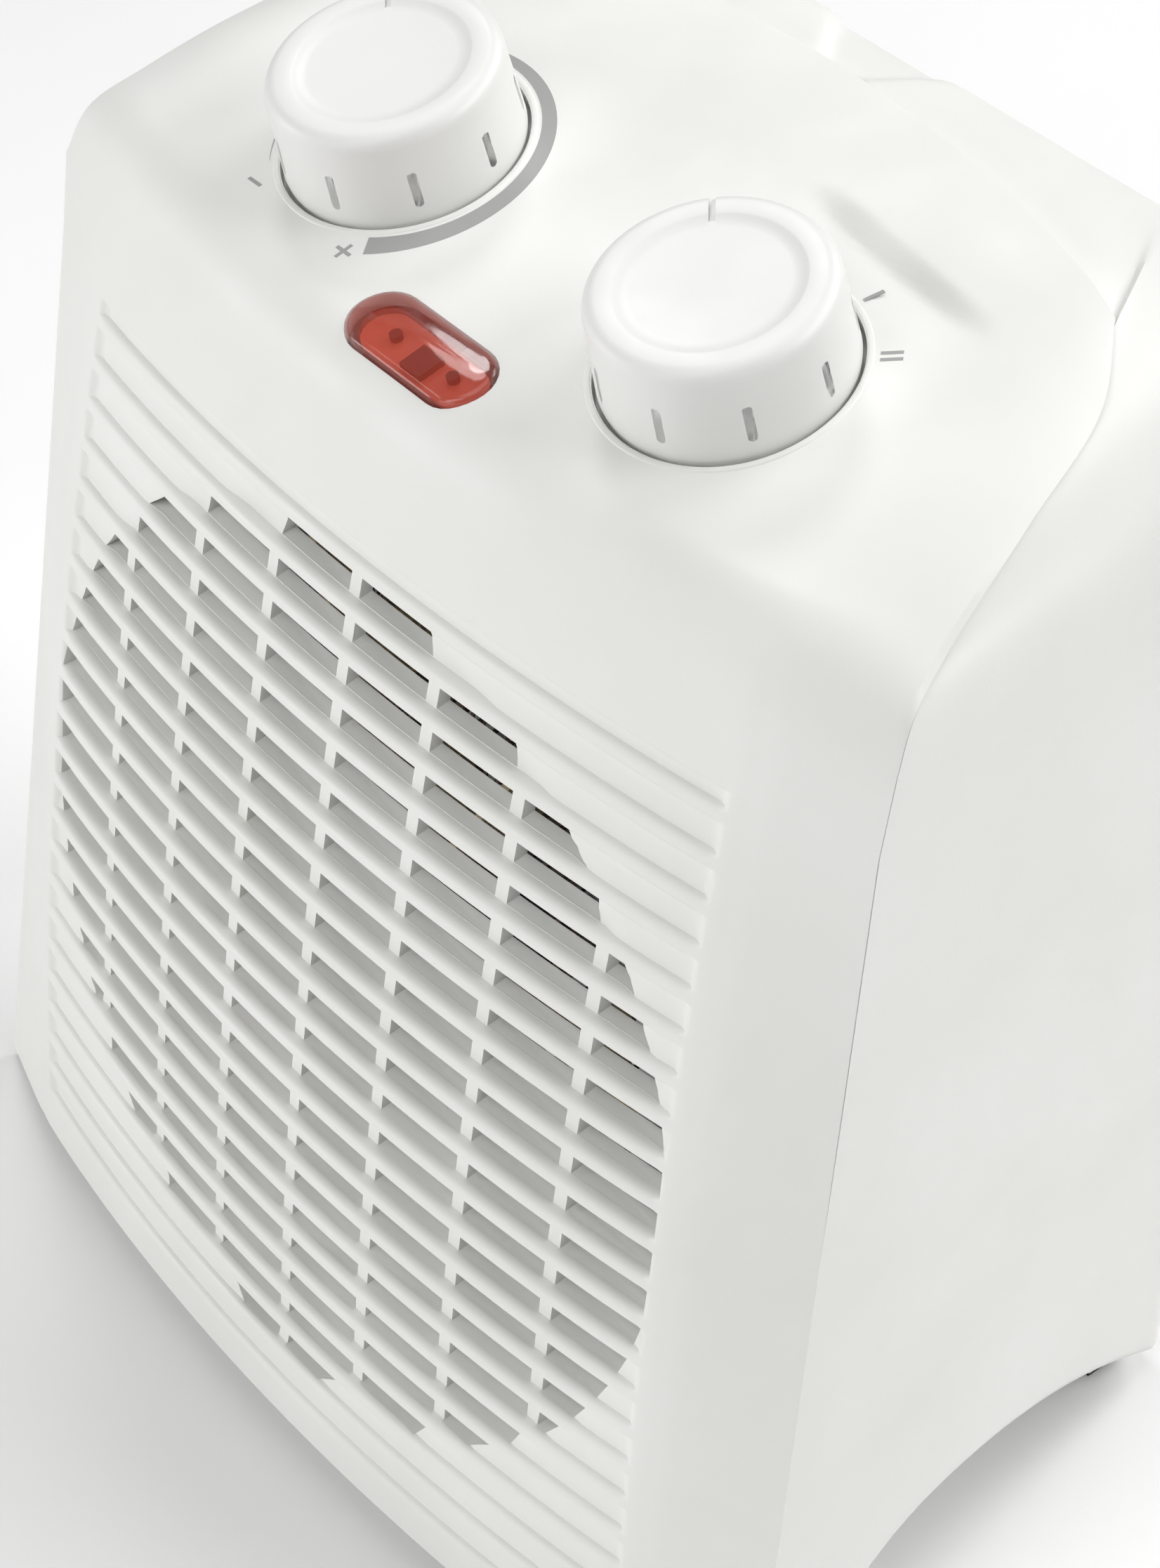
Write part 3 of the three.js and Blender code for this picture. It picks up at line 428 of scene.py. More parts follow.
PLASTICS = {
    # name: darkest colour, lightest colour, roughness, grain size in mm, relief
    "housing_white": ((0.82, 0.82, 0.79), (0.86, 0.86, 0.835), (0.42, 0.56), 0.45, 0.012),
    "knob_white": ((0.81, 0.81, 0.79), (0.85, 0.85, 0.83), (0.36, 0.48), 0.35, 0.008),
    "black_plastic": ((0.012, 0.012, 0.013), (0.02, 0.02, 0.021), (0.4, 0.6), 0.5, 0.02),
    "mark_grey": ((0.34, 0.34, 0.335), (0.40, 0.40, 0.395), (0.5, 0.65), 0.3, 0.006),
    "rubber": ((0.018, 0.018, 0.018), (0.03, 0.03, 0.03), (0.75, 0.95), 0.7, 0.05),
    "lamp_tray": ((0.78, 0.17, 0.11), (0.88, 0.22, 0.15), (0.4, 0.6), 0.5, 0.01),
}
METALS = {
    # name: darkest colour, lightest colour, roughness, stretch of the grain, grain size in mm
    "sheet_steel": ((0.42, 0.43, 0.44), (0.58, 0.59, 0.6), (0.25, 0.45), (1, 0.06, 1), 0.5),
    "resistance_wire": ((0.10, 0.075, 0.06), (0.22, 0.16, 0.13), (0.4, 0.65), (1, 1, 1), 0.3),
    "fan_aluminium": ((0.50, 0.51, 0.52), (0.64, 0.65, 0.66), (0.3, 0.5), (1, 1, 0.08), 0.5),
    "brass": ((0.42, 0.28, 0.09), (0.60, 0.43, 0.16), (0.22, 0.42), (1, 1, 0.1), 0.5),
}
materials = {
    **{name: moulded_plastic(name, *settings) for name, settings in PLASTICS.items()},
    **{name: bare_metal(name, *settings) for name, settings in METALS.items()},
    "motor_steel": laminated_steel(),
    "lens_red": glass_red(),
    "neon_glass": lamp_glass(),
    "mica": mica_board(),
    "copper_winding": wound_copper(),
}


# ---- the body's outer surface, in the leaning front's frame ----
def depth_up(z):
    return (z - FRONT_MIDDLE) ** 2 / (2 * UP_RADIUS)


def across_depth(x):
    return x**2 / (2 * ACROSS_RADIUS)


def upper_seam(share):
    """A point of the centripetal Catmull-Rom curve through SEAM_POINTS, by share of its spans."""
    points = np.array(SEAM_POINTS, float)
    points = np.vstack([2 * points[0] - points[1], points, 2 * points[-1] - points[-2]])
    spans = len(SEAM_POINTS) - 1
    k = min(int(share * spans), spans - 1)
    t = share * spans - k
    p0, p1, p2, p3 = points[k : k + 4]
    d0, d1, d2 = (math.sqrt(np.linalg.norm(b - a)) for a, b in ((p0, p1), (p1, p2), (p2, p3)))
    m1 = d1 * ((p1 - p0) / d0 - (p2 - p0) / (d0 + d1) + (p2 - p1) / d1)
    m2 = d1 * ((p2 - p1) / d1 - (p3 - p1) / (d1 + d2) + (p3 - p2) / d2)
    return (
        p1
        + m1 * t
        + (3 * (p2 - p1) - 2 * m1 - m2) * t**2
        + (2 * (p1 - p2) + m1 + m2) * t**3
    )


def lower_seam(z):
    return np.array([104 - 0.046 * z, 18.5 - 0.0137 * z, z])


def front_station(z, side=None):
    """Centre point, seam point and turn of a section on the ribbed front."""
    return np.array([depth_up(z), z]), lower_seam(z if side is None else side), 0.0


def apron_station(share):
    """From the ridge, share 0, to the start of the fold, share 1."""
    centre = np.array([APRON_Y, RIDGE + (APRON_TOP - RIDGE) * share])
    return centre, lower_seam(RIDGE) * (1 - share) + upper_seam(0) * share, 0.0


def fold_station(share):
    angle = share * (math.pi / 2 - PANEL_SLOPE)
    centre = np.array([
        APRON_Y + FOLD_RADIUS * (1 - math.cos(angle)),
        APRON_TOP + FOLD_RADIUS * math.sin(angle),
    ])
    return centre, upper_seam(FOLD_SHARE * share), 0.6 * float(smoothstep(share, 0, 1))


def panel_station(share):
    centre = PANEL_START + share * PANEL_LENGTH * UP_PANEL
    seam = upper_seam(FOLD_SHARE + (1 - FOLD_SHARE) * share)
    return centre, seam, 0.6 + 0.4 * float(smoothstep(share, 0, 0.35))


RIM_ROUND = 2.5  # softness of the line where the ribbed front meets the plain corner facet
INNER_COLUMNS = 30
EDGE_COLUMNS = (6, 5.2, 4.6, 4.1, 3.7, 3.3, 2.9, 2.4, 1.7, 0.8, 0)  # distances inside the rim
OUTER_COLUMNS = (0.05, 0.1, 0.16, 0.24, 0.33, 0.43, 0.53, 0.63, 0.72, 0.8, 0.87, 0.93, 0.97, 1)


def rim_of(seam, turn, drop):
    """Half width of the ribbed front, or of the flat panel, at a section."""
    run = math.sqrt(CORNER_RADIUS**2 - (CORNER_RADIUS - drop) ** 2)
    front_rim = 84.5 - 0.035 * min(seam[2], 20)
    return front_rim * (1 - turn) + (seam[0] - run) * turn


def section(station):
    """Points of a section from the centre line out to the seam, on the right-hand side."""
    centre, seam, turn = station
    away = seam[1:] - centre
    along = away @ UP_PANEL
    drop = max(-(away @ OFF_PANEL), 0.01)
    rim = rim_of(seam, turn, drop)
    inner = np.linspace(0, rim - EDGE_COLUMNS[0], INNER_COLUMNS)[:-1]
    edge = rim - np.array(EDGE_COLUMNS)
    outer = rim + (seam[0] - rim) * np.array(OUTER_COLUMNS)
    x = np.concatenate([inner, edge, outer])
    beyond = np.maximum(0, x - rim)
    softness = RIM_ROUND * (1 - turn)
    beyond_soft = (x - rim + np.sqrt((x - rim) ** 2 + softness**2)) / 2
    beyond_soft = beyond_soft - softness**2 / (4 * (seam[0] - rim))
    beyond_soft = np.where(x < rim - 12, 0, np.maximum(beyond_soft, 0))
    slope = (away[0] - across_depth(rim)) / (seam[0] - rim)
    back = across_depth(np.minimum(x, rim)) + slope * beyond_soft
    from_front = float(smoothstep(away[0], 4, 16))
    share = from_front * back / max(away[0], 4) + (1 - from_front) * (x / seam[0]) ** 2
    rounding = (CORNER_RADIUS - np.sqrt(np.maximum(CORNER_RADIUS**2 - beyond**2, 0))) / drop
    over = drop * np.minimum(rounding, 1)
    front_part = np.stack([back, away[1] * (x / seam[0]) ** 2], axis=1)
    top_part = np.outer(along * share, UP_PANEL) - np.outer(over, OFF_PANEL)
    points = np.column_stack([x, centre + front_part * (1 - turn) + top_part * turn])
    points[-1] = seam
    return points


def mirrored(points):
    return points * np.array([-1, 1, 1])


def normals_of(grid):
    """Outward normals at the points of a grid, from their neighbours."""
    across = np.gradient(grid, axis=1)
    up = np.gradient(grid, axis=0)
    normal = np.cross(across, up)
    return normal / np.linalg.norm(normal, axis=2, keepdims=True)


# ---- the front cover ----
def rib_heights():
    """Heights of the grid's rows over the ribs: close together round each rib's edges."""
    closer = 1 - np.cos(np.radians([0, 35, 62, 90]))
    shoulder = 1 - np.cos(np.radians([0, 25, 42, 58, 75, 90]))
    rib = np.concatenate([RIB_ROUND * closer, RIB - RIB_SHOULDER * shoulder[::-1]])
    floor = RIB + SLOT_HEIGHT * np.array([0.33, 0.66])
    rows = [-SLOT_ROWS * SLOT_PITCH - SLOT_HEIGHT * share for share in (0.66, 0.33)]
    for row in range(SLOT_ROWS, -1, -1):
        rows.extend(-row * SLOT_PITCH + rib)
        if row:
            rows.extend(-row * SLOT_PITCH + floor)
    return [*rows, RIDGE - 1]


STRIP_TOP = -SLOT_ROWS * SLOT_PITCH - SLOT_HEIGHT  # top of the plain strip under the ribs


def lift_of(z):
    """How far the surface stands out at a height: 1 on a rib's face, 0 on the wall between ribs."""
    phase = np.mod(z, SLOT_PITCH)
    rib = np.minimum(phase / RIB_ROUND, (RIB - phase) / RIB_SHOULDER)
    rib = np.where((z > STRIP_TOP + 1) & (z < RIB + 0.01), rib, -1)
    inside = np.maximum.reduce([rib, (z - RIDGE) / RIB_ROUND, (STRIP_TOP - z) / RIB_SHOULDER])
    share = np.clip(inside, 0, 1)
    return np.sqrt(1 - (1 - share) ** 2)


def cover_stations():
    rows = [front_station(FRONT_FOOT, SIDE_FOOT)]
    rows += [front_station(z) for z in np.linspace(FRONT_FOOT + 1.5, STRIP_TOP - RIB_SHOULDER, 4)]
    rows += [front_station(STRIP_TOP - RIB_SHOULDER * share) for share in (0.6, 0.3, 0.1, 0)]
    rows += [front_station(z) for z in rib_heights()]
    ridge_shares = RIB_ROUND * np.array([0, 0.15, 0.5, 1]) / (APRON_TOP - RIDGE)
    rows += [apron_station(share) for share in (*ridge_shares, 0.25, 0.5, 0.75)]
    rows += [fold_station(share) for share in np.linspace(0, 1, 17)]
    rows += [panel_station(share) for share in np.linspace(0, 1, 70)[1:]]
    return rows


DENT_DEPTH = 1.8
DENT_SLOPE = 8  # length of the slope down into the dent
DENT_STEP = 4.5  # length of the step back up behind it


def dent_depth(u, v):
    """A shallow finger dent behind the right-hand knob: a long slope down and a short step back up."""
    deepest = 31.2 - 0.118 * (u - 26.6)  # the line across the panel where the dent is deepest
    before = np.clip(1 + (v - deepest) / DENT_SLOPE, 0, 1) ** 1.5
    behind = 1 - smoothstep(v - deepest, 0, DENT_STEP)
    ends = smoothstep(u, 18, 32) * (1 - smoothstep(u, 52, 68))
    return DENT_DEPTH * ends * np.where(v < deepest, before, behind)


def cover_grids():
    """The cover's outer surface with its ribs, its inner surface, and the outer one without ribs."""
    rows = cover_stations()
    halves = np.array([section(row) for row in rows])
    plain = np.concatenate([mirrored(halves[:, :0:-1]), halves], axis=1)
    normals = normals_of(plain)
    turn = np.array([row[2] for row in rows])[:, None]
    centre_z = np.array([row[0][1] for row in rows])[:, None]
    rim = np.array([abs(half[INNER_COLUMNS - 1 + len(EDGE_COLUMNS) - 1][0]) for half in halves])[:, None]
    field = smoothstep(rim - np.abs(plain[:, :, 0]), EDGE_STRIP, EDGE_STRIP + 2)
    from_middle = np.hypot(plain[:, :, 0], plain[:, :, 2] - GRILLE_CENTRE)
    plain_wall = smoothstep(from_middle, GRILLE_RADIUS - 2, GRILLE_RADIUS + 1)
    set_back = MULLION_SET_BACK + (RELIEF - MULLION_SET_BACK) * plain_wall
    relief = set_back * field * (1 - lift_of(centre_z)) * (centre_z < APRON_TOP)
    on_panel = plain[:, :, 1:] - PANEL_CENTRE
    dent = dent_depth(plain[:, :, 0], on_panel @ UP_PANEL) * (turn > 0.9)
    outer = plain - normals * (relief + dent)[:, :, None]
    inwards = -normals
    inwards[0, :, 2] = 0
    inwards[-1] = (0, math.sin(LEAN), -math.cos(LEAN))
    inwards[:, 0] = (1, 0, 0)
    inwards[:, -1] = (-1, 0, 0)
    inwards[-1, 0] += inwards[-1, 1]
    inwards[-1, -1] += inwards[-1, 1]
    inwards /= np.linalg.norm(inwards, axis=2, keepdims=True)
    thickness = np.broadcast_to(WALL + (BLADE_DEPTH - WALL) * (turn == 0), plain.shape[:2]).copy()
    thickness[:, (0, -1)] = WALL
    inner = plain + inwards * thickness[:, :, None]
    return outer, inner, plain


def shell_between(outer, inner):
    """A closed shell between two grids of the same size."""
    rows, columns = outer.shape[:2]
    count = rows * columns
    faces = grid_faces(rows, columns)
    faces += grid_faces(rows, columns, start=count, flip=True)
    for i in range(rows - 1):
        for j, flip in ((0, False), (columns - 1, True)):
            low = i * columns + j
            quad = (low, low + columns, low + columns + count, low + count)
            faces.append(quad[::-1] if flip else quad)
    for j in range(columns - 1):
        for i, flip in ((0, True), (rows - 1, False)):
            left = i * columns + j
            quad = (left, left + 1, left + 1 + count, left + count)
            faces.append(quad[::-1] if flip else quad)
    return mesh_of(np.concatenate([outer.reshape(-1, 3), inner.reshape(-1, 3)]), faces)


SLOT_AHEAD = -8  # a slot's cutter starts this far ahead of the face
SLOT_BEHIND = 12  # and ends this far behind it
CLIMB_START = MULLION_SET_BACK + 0.3  # depth where a slot's floor starts to climb


def slot_cutter(lefts, rights, low, top):
    """One open slot, along the curved face. Behind the mullions' face its floor climbs to the rear."""
    floor = ((SLOT_AHEAD, 0), (CLIMB_START, 0), (BLADE_DEPTH, BLADE_RISE), (SLOT_BEHIND, BLADE_RISE))
    rings = []
    for depth, climb in floor:
        corners = ((lefts[0], low, climb), (rights[0], low, climb), (rights[1], top, 0), (lefts[1], top, 0))
        rings.append(np.array([
            (x, depth + across_depth(x) + depth_up(z), z + rise) for x, z, rise in corners
        ]))
    return loft(rings)


def grille_cutters():
    """One cutter for each open slot. Its ends follow the grille's circle or the mullions."""
    cutters = []
    for row in range(SLOT_ROWS):
        top = -row * SLOT_PITCH
        low = top - SLOT_HEIGHT
        reach = [math.sqrt(GRILLE_RADIUS**2 - (z - GRILLE_CENTRE) ** 2) for z in (low, top)]
        for bay in range(-4, 4):
            left = bay * MULLION_PITCH + MULLION_WIDTH / 2
            right = (bay + 1) * MULLION_PITCH - MULLION_WIDTH / 2
            lefts = [max(left, -r) for r in reach]
            rights = [min(right, r) for r in reach]
            if min(rights[0] - lefts[0], rights[1] - lefts[1]) < 2:
                continue
            cutters.append(slot_cutter(lefts, rights, low, top))
    return cutters


def on_panel(mesh, u=0, v=0):
    """Moves a mesh built about the panel's own axes into the front's frame."""
    return transformed(mesh, FRONT.inverted() @ PANEL @ Matrix.Translation((u, v, 0)))


def bottom_flange(inner):
    """The cover's foot: a plate from the wall back to the housing's floor."""
    back = 19.8
    line = [(x, y - 1) for x, y, _ in inner[0] if y < back - 2]
    outline = [*line, (line[-1][0], back), (line[0][0], back)]
    return prism(outline, FRONT_FOOT + 1.2, FRONT_FOOT + 1.2 + WALL)


def front_cover(outer, inner):
    additions = [bottom_flange(inner)]
    cuts = grille_cutters()
    for side in (-KNOB_OFFSET, KNOB_OFFSET):
        additions.append(on_panel(rod(WELL_RADIUS + 2, -WELL_DEPTH - 2, -1, 96), side))
        cuts.append(on_panel(rod(WELL_RADIUS, -WELL_DEPTH, 12, 96), side))
    cuts.append(on_panel(prism(stadium(LENS_LENGTH + 2 * FIT, LENS_WIDTH + 2 * FIT), -14, 12), 0, LENS_V))
    whole = boolean(shell_between(outer, inner), additions, "UNION")
    return boolean(whole, cuts, "DIFFERENCE")


cover_outer, cover_inner, cover_plain = cover_grids()
cover = front_cover(cover_outer, cover_inner)
show("cover_moulding", cover, FRONT, "casing", "housing_white", ["front_cover"])


# ---- the rear housing, in the body's frame ----
def arch_height(y):
    """Height of the arch under a side above the floor: a parabola each side of its middle."""
    reach = np.where(y < ARCH_MIDDLE, ARCH_FRONT, ARCH_REAR)
    height = (ARCH_APEX - FOOT_HEIGHT) * (1 - ((y - ARCH_MIDDLE) / reach) ** 2)
    return FOOT_HEIGHT + np.maximum(0, height)


def to_body(points):
    matrix = np.array(FRONT)
    return points @ matrix[:3, :3].T + matrix[:3, 3]


def seam_gap(z):
    """The open joint beside the cover: closed at the foot, wider towards the top."""
    return 0.12 + 0.55 * smoothstep(z, 70, 150)


LIFT_SHARE = 0.12  # the arch reaches its full height this far behind the seam
SIDE_ROWS = 64
TOP_CHANNEL = 1.5  # depth of the shallow channel across the housing's top


def housing_rim():
    """The right half of the front rim and of the rear outline, point for point, from the side's
    lower edge up, over the corner and in to the centre line, with each point's share of the arch."""
    rows = [front_station(FRONT_FOOT, SIDE_FOOT)]
    rows += [front_station(z) for z in np.linspace(FRONT_FOOT, RIDGE, SIDE_ROWS)[1:]]
    rows += [apron_station(share) for share in (0.25, 0.5, 0.75)]
    corner = len(rows)
    rows += [fold_station(share) for share in np.linspace(0, 1, 13)]
    rows += [panel_station(share) for share in np.linspace(0, 1, 31)[1:]]
    seam = to_body(np.array([row[1] for row in rows]))
    run = np.gradient(seam[:, 1:], axis=0)
    run /= np.linalg.norm(run, axis=1, keepdims=True)
    gap = seam_gap(seam[:, 2])
    at_front = seam.copy()
    at_front[:, 1] += gap * run[:, 1]
    at_front[:, 2] -= gap * run[:, 0]
    at_front[:, 0] -= 0.4
    at_front[-1, 2] -= TOP_STEP / 2
    up = np.arange(len(rows)) / corner
    turn = np.pi / 2 * np.clip((np.arange(len(rows)) - corner) / (len(rows) - 1 - corner), 0, 1)
    rear_x = REAR_HALF - CORNER_RADIUS * (1 - np.cos(turn))
    side_z = FOOT_HEIGHT + (REAR_SHOULDER - FOOT_HEIGHT) * np.minimum(up, 1)
    rear_z = side_z + (REAR_TOP - REAR_SHOULDER) * np.sin(turn)
    at_rear = np.column_stack([rear_x, np.full(len(rows), REAR_Y), rear_z])
    top_front = to_body(section(rows[-1])[-2::-1])
    top_front[:, 1] += 0.6
    top_front[:, 2] -= TOP_STEP
    inwards = 1 - np.arange(1, len(top_front) + 1) / len(top_front)
    top_rear = np.column_stack([
        (REAR_HALF - CORNER_RADIUS) * inwards,
        np.full(len(inwards), REAR_Y),
        np.full(len(inwards), REAR_TOP),
    ])
    at_front = np.vstack([at_front, top_front])
    at_rear = np.vstack([at_rear, top_rear])
    at_front[0, 2] = FOOT_HEIGHT
    at_front[0, 1] += 1.2
    lift = np.concatenate([np.maximum(0, 1 - up), np.zeros(len(top_front))])
    return at_front, at_rear, lift


def inset_ring(ring, inset):
    """The ring drawn in by inset, square to its own outline in x and z."""
    run = (np.roll(ring, -1, axis=0) - np.roll(ring, 1, axis=0))[:, (0, 2)]
    run /= np.linalg.norm(run, axis=1, keepdims=True)
    outwards = np.column_stack([run[:, 1], -run[:, 0]])
    from_middle = ring[:, (0, 2)] - np.array([0, 120])
    outwards *= np.sign(np.sum(outwards * from_middle, axis=1, keepdims=True))
    moved = ring.copy()
    moved[:, (0, 2)] -= outwards * inset
    return moved


def rounded_corner(before, corner, after, radius, steps=5):
    """Points of an arc that replaces a corner, from the line before it to the line after it."""
    towards = (before - corner) / np.linalg.norm(before - corner)
    onwards = (after - corner) / np.linalg.norm(after - corner)
    start = corner + towards * radius
    end = corner + onwards * radius
    shares = np.linspace(0, 1, steps)[:, None]
    return (1 - shares) ** 2 * start + 2 * shares * (1 - shares) * corner + shares**2 * end


def shrunk_ring(ring, inset):
    """The ring drawn in evenly about the middle of the rear wall, for its rounded edge."""
    middle = (FLOOR_EDGE + REAR_TOP) / 2
    shrunk = ring.copy()
    shrunk[:, 0] *= 1 - inset / REAR_HALF
    shrunk[:, 2] = middle + (ring[:, 2] - middle) * (1 - inset / (REAR_TOP - middle))
    return shrunk


def housing_ring(rim, share, inset, rear_inset, rounding):
    """One ring of the housing, share 0 at the seam and 1 at the rear wall."""
    at_front, at_rear, lift = rim
    half = at_front * (1 - share) + at_rear * share
    half[:, 1] -= rear_inset * share
    half[:, 2] += (arch_height(half[:, 1]) - FOOT_HEIGHT) * min(1, share / LIFT_SHARE) * lift**1.5
    flat = (lift == 0) & (half[:, 2] > REAR_SHOULDER)
    width = 2.8 + 0.77 * np.maximum(half[:, 1] - 54.2, 0)
    channel = 1 - smoothstep(np.abs(half[:, 0]), width, width + 4)
    half[:, 2] -= flat * TOP_CHANNEL * channel * min(1, share / LIFT_SHARE)
    floor_z = max(half[0, 2], FLOOR_EDGE)
    floor = [np.array([half[0, 0] * x, half[0, 1], floor_z]) for x in (0.4, 0.6, 0.82)]
    right = np.vstack([floor, half])
    ring = np.vstack([right[:-1], mirrored(right)[::-1]])
    ring = inset_ring(ring, inset)
    low = len(floor)
    mirror_low = len(ring) - 1 - low
    corners = {
        k: rounded_corner(ring[k - 1], ring[k], ring[k + 1], rounding) for k in (low, mirror_low)
    }
    return np.vstack([corners.get(k, ring[k][None]) for k in range(len(ring))])


def housing_cup():
    """The housing as one closed cup: outer rings from the rear wall to the rim, then inner rings back."""
    rim = housing_rim()
    shares = [0, 0.03, 0.06, 0.09, *np.linspace(LIFT_SHARE, 0.93, 28)]
    angles = np.radians(np.linspace(0, 90, 7))
    outer = [housing_ring(rim, share, 0, REAR_ROUND, ARCH_ROUND) for share in shares]
    inner = [housing_ring(rim, share, WALL, REAR_ROUND, INNER_ROUND) for share in shares]
    for angle in angles:
        inset = REAR_ROUND * (1 - math.cos(angle))
        ahead = REAR_ROUND * (1 - math.sin(angle))
        outer.append(shrunk_ring(housing_ring(rim, 1, 0, ahead, ARCH_ROUND), inset))
        inner.append(shrunk_ring(housing_ring(rim, 1, WALL, WALL + ahead, INNER_ROUND), inset))
    return loft([*outer[::-1], *inner])


def depth_at(y, z):
    """Depth in the front's frame at which a line at height z meets the body's depth y."""
    return (y - FRONT_AT[1] - z * math.sin(LEAN)) / math.cos(LEAN)


INTAKE_ROWS = 7  # rows of slots above the middle one, and as many below it
INTAKE_PITCH = 10
INTAKE_SLOT = 5.2
INTAKE_RADIUS = 76
INTAKE_MIDDLE = 112
INTAKE_BAY = 50
INTAKE_BAR = 3.2  # width of the bars between the bays
SHORTEST_SLOT = 6


def rear_grille_cutters():
    """Rows of long slots with round ends in the rear wall, inside a circle."""
    cutters = []
    for row in range(-INTAKE_ROWS, INTAKE_ROWS + 1):
        up = row * INTAKE_PITCH
        reach = math.sqrt(INTAKE_RADIUS**2 - up**2)
        for bay in (-1.5, -0.5, 0.5):
            left = max(bay * INTAKE_BAY + INTAKE_BAR / 2, -reach)
            right = min((bay + 1) * INTAKE_BAY - INTAKE_BAR / 2, reach)
            if right - left < SHORTEST_SLOT:
                continue
            slot = prism(stadium(right - left, INTAKE_SLOT, 6), REAR_Y - 8.2, REAR_Y + 7.8)
            place = Matrix.Translation(((left + right) / 2, 0, INTAKE_MIDDLE + up))
            cutters.append(transformed(slot, place @ BACKWARDS))
    return cutters


GRIP_HALF = 46
GRIP_BOTTOM = 206
GRIP_TOP = 226
GRIP_DEPTH = 17
FOOT_PLACES = ((-92, -43), (92, -43), (-76, 58), (76, 58))
FOOT_BLOCK = (9, 5, 12)  # half length, half width and top of the block over each foot
INLET = (62, 42, 7.2)  # x, z and radius of the hole for the cable
POST_RADIUS = 6.5
POST_BORE = 4.4  # radius of the bore that a screw goes in by
SCREW_HOLE = 1.85  # radius of the hole for its shank


def rounded_box(half, low, high, y0, y1, radius):
    """A box along y with rounded upright corners, for the grip's recess."""
    shape = []
    width, height = half, (high - low) / 2
    for quarter in range(4):
        for step in range(5):
            angle = math.radians(90 * quarter + 22.5 * step)
            sx = 1 if quarter in (0, 3) else -1
            sz = 1 if quarter in (0, 1) else -1
            x = sx * (width - radius) + radius * math.cos(angle)
            z = sz * (height - radius) + radius * math.sin(angle)
            shape.append((x, -z))
    made = transformed(prism(shape, y0, y1), BACKWARDS)
    return transformed(made, Matrix.Translation((0, 0, (low + high) / 2)))


def rear_housing():
    additions = []
    cuts = rear_grille_cutters()
    start = BOSS_END + FIT
    for x, z in BOSSES:
        place = FRONT @ Matrix.Translation((x, 0, z)) @ BACKWARDS
        additions.append(transformed(rod(POST_RADIUS, start, depth_at(REAR_Y - WALL / 2, z), 40), place))
        cuts.append(transformed(rod(POST_BORE, start + 2, depth_at(REAR_Y + 3, z), 40), place))
        cuts.append(transformed(rod(SCREW_HOLE, start - 1, start + 3, 20), place))
    length, width, top = FOOT_BLOCK
    for x, y in FOOT_PLACES:
        base = FOOT_HEIGHT + FIT
        block = box(x - length, x + length, y - width, y + width, base, FOOT_HEIGHT + top)
        additions.append(block)
    additions.append(rounded_box(
        GRIP_HALF + WALL, GRIP_BOTTOM - WALL, GRIP_TOP + WALL, REAR_Y - GRIP_DEPTH - WALL, REAR_Y - 2, 6
    ))
    cuts.append(rounded_box(GRIP_HALF, GRIP_BOTTOM, GRIP_TOP, REAR_Y - GRIP_DEPTH, REAR_Y + 4, 4))
    x, z, radius = INLET
    inlet = rod(radius, REAR_Y - 20, REAR_Y + 5)
    cuts.append(transformed(inlet, Matrix.Translation((x, 0, z)) @ BACKWARDS))
    return boolean(boolean(housing_cup(), additions, "UNION"), cuts, "DIFFERENCE")


show("housing_moulding", rear_housing(), Matrix.Identity(4), "casing", "housing_white", ["rear_housing"])


# ---- marks and rings that lie on the panel ----
def panel_surface():
    """The plain outer surface in the panel's own frame, to lay things on."""
    rows, columns = cover_plain.shape[:2]
    to_panel = PANEL.inverted() @ FRONT
    points = [to_panel @ Vector(point) for point in cover_plain.reshape(-1, 3)]
    return BVHTree.FromPolygons(points, grid_faces(rows, columns))


PANEL_SURFACE = panel_surface()


def panel_height(u, v):
    return PANEL_SURFACE.ray_cast(Vector((u, v, 20)), Vector((0, 0, -1)))[0].z


PRINT_LIFT = 0.04
PRINT_SINK = 0.15


def printed(edge_a, edge_b):
    """A thin printed stripe on the panel between two edges, each a list of (u, v) points."""
    rings = []
    for (ua, va), (ub, vb) in zip(edge_a, edge_b):
        ha, hb = panel_height(ua, va), panel_height(ub, vb)
        rings.append(np.array([
            (ua, va, ha + PRINT_LIFT),
            (ub, vb, hb + PRINT_LIFT),
            (ub, vb, hb - PRINT_SINK),
            (ua, va, ha - PRINT_SINK),
        ]))
    return loft(rings)


def stroke(start, end, width):
    start, end = np.array([start, end])
    along = (end - start) / np.linalg.norm(end - start)
    aside = np.array([-along[1], along[0]]) * width / 2
    return printed([start + aside, end + aside], [start - aside, end - aside])


CRESCENT_RADIUS = 22.2
CRESCENT_START = -131  # in degrees, at its thin end
CRESCENT_SWEEP = -282
CRESCENT_WIDTHS = (0.05, 3.75)
CRESCENT_STEPS = 90


def heat_crescent():
    """A crescent round the thermostat's well that widens clockwise, from less to more heat."""
    shares = np.linspace(0, 1, CRESCENT_STEPS + 1)[:, None]
    angles = np.radians(CRESCENT_START + CRESCENT_SWEEP * shares)
    away = np.hstack([np.cos(angles), np.sin(angles)])
    centre = np.array([-KNOB_OFFSET, 0])
    narrow, wide = CRESCENT_WIDTHS
    inner = centre + CRESCENT_RADIUS * away
    return printed(inner, inner + (narrow + (wide - narrow) * shares) * away)


SETTING_ONE = math.radians(74.8)
SETTING_TWO = math.radians(42.8)
STROKE_WIDTH = 0.65
STROKE_ENDS = (22.5, 25.9)  # distances of a setting's stroke from the selector's axis
STROKE_ASIDE = 0.68  # how far each of setting two's strokes lies off its middle


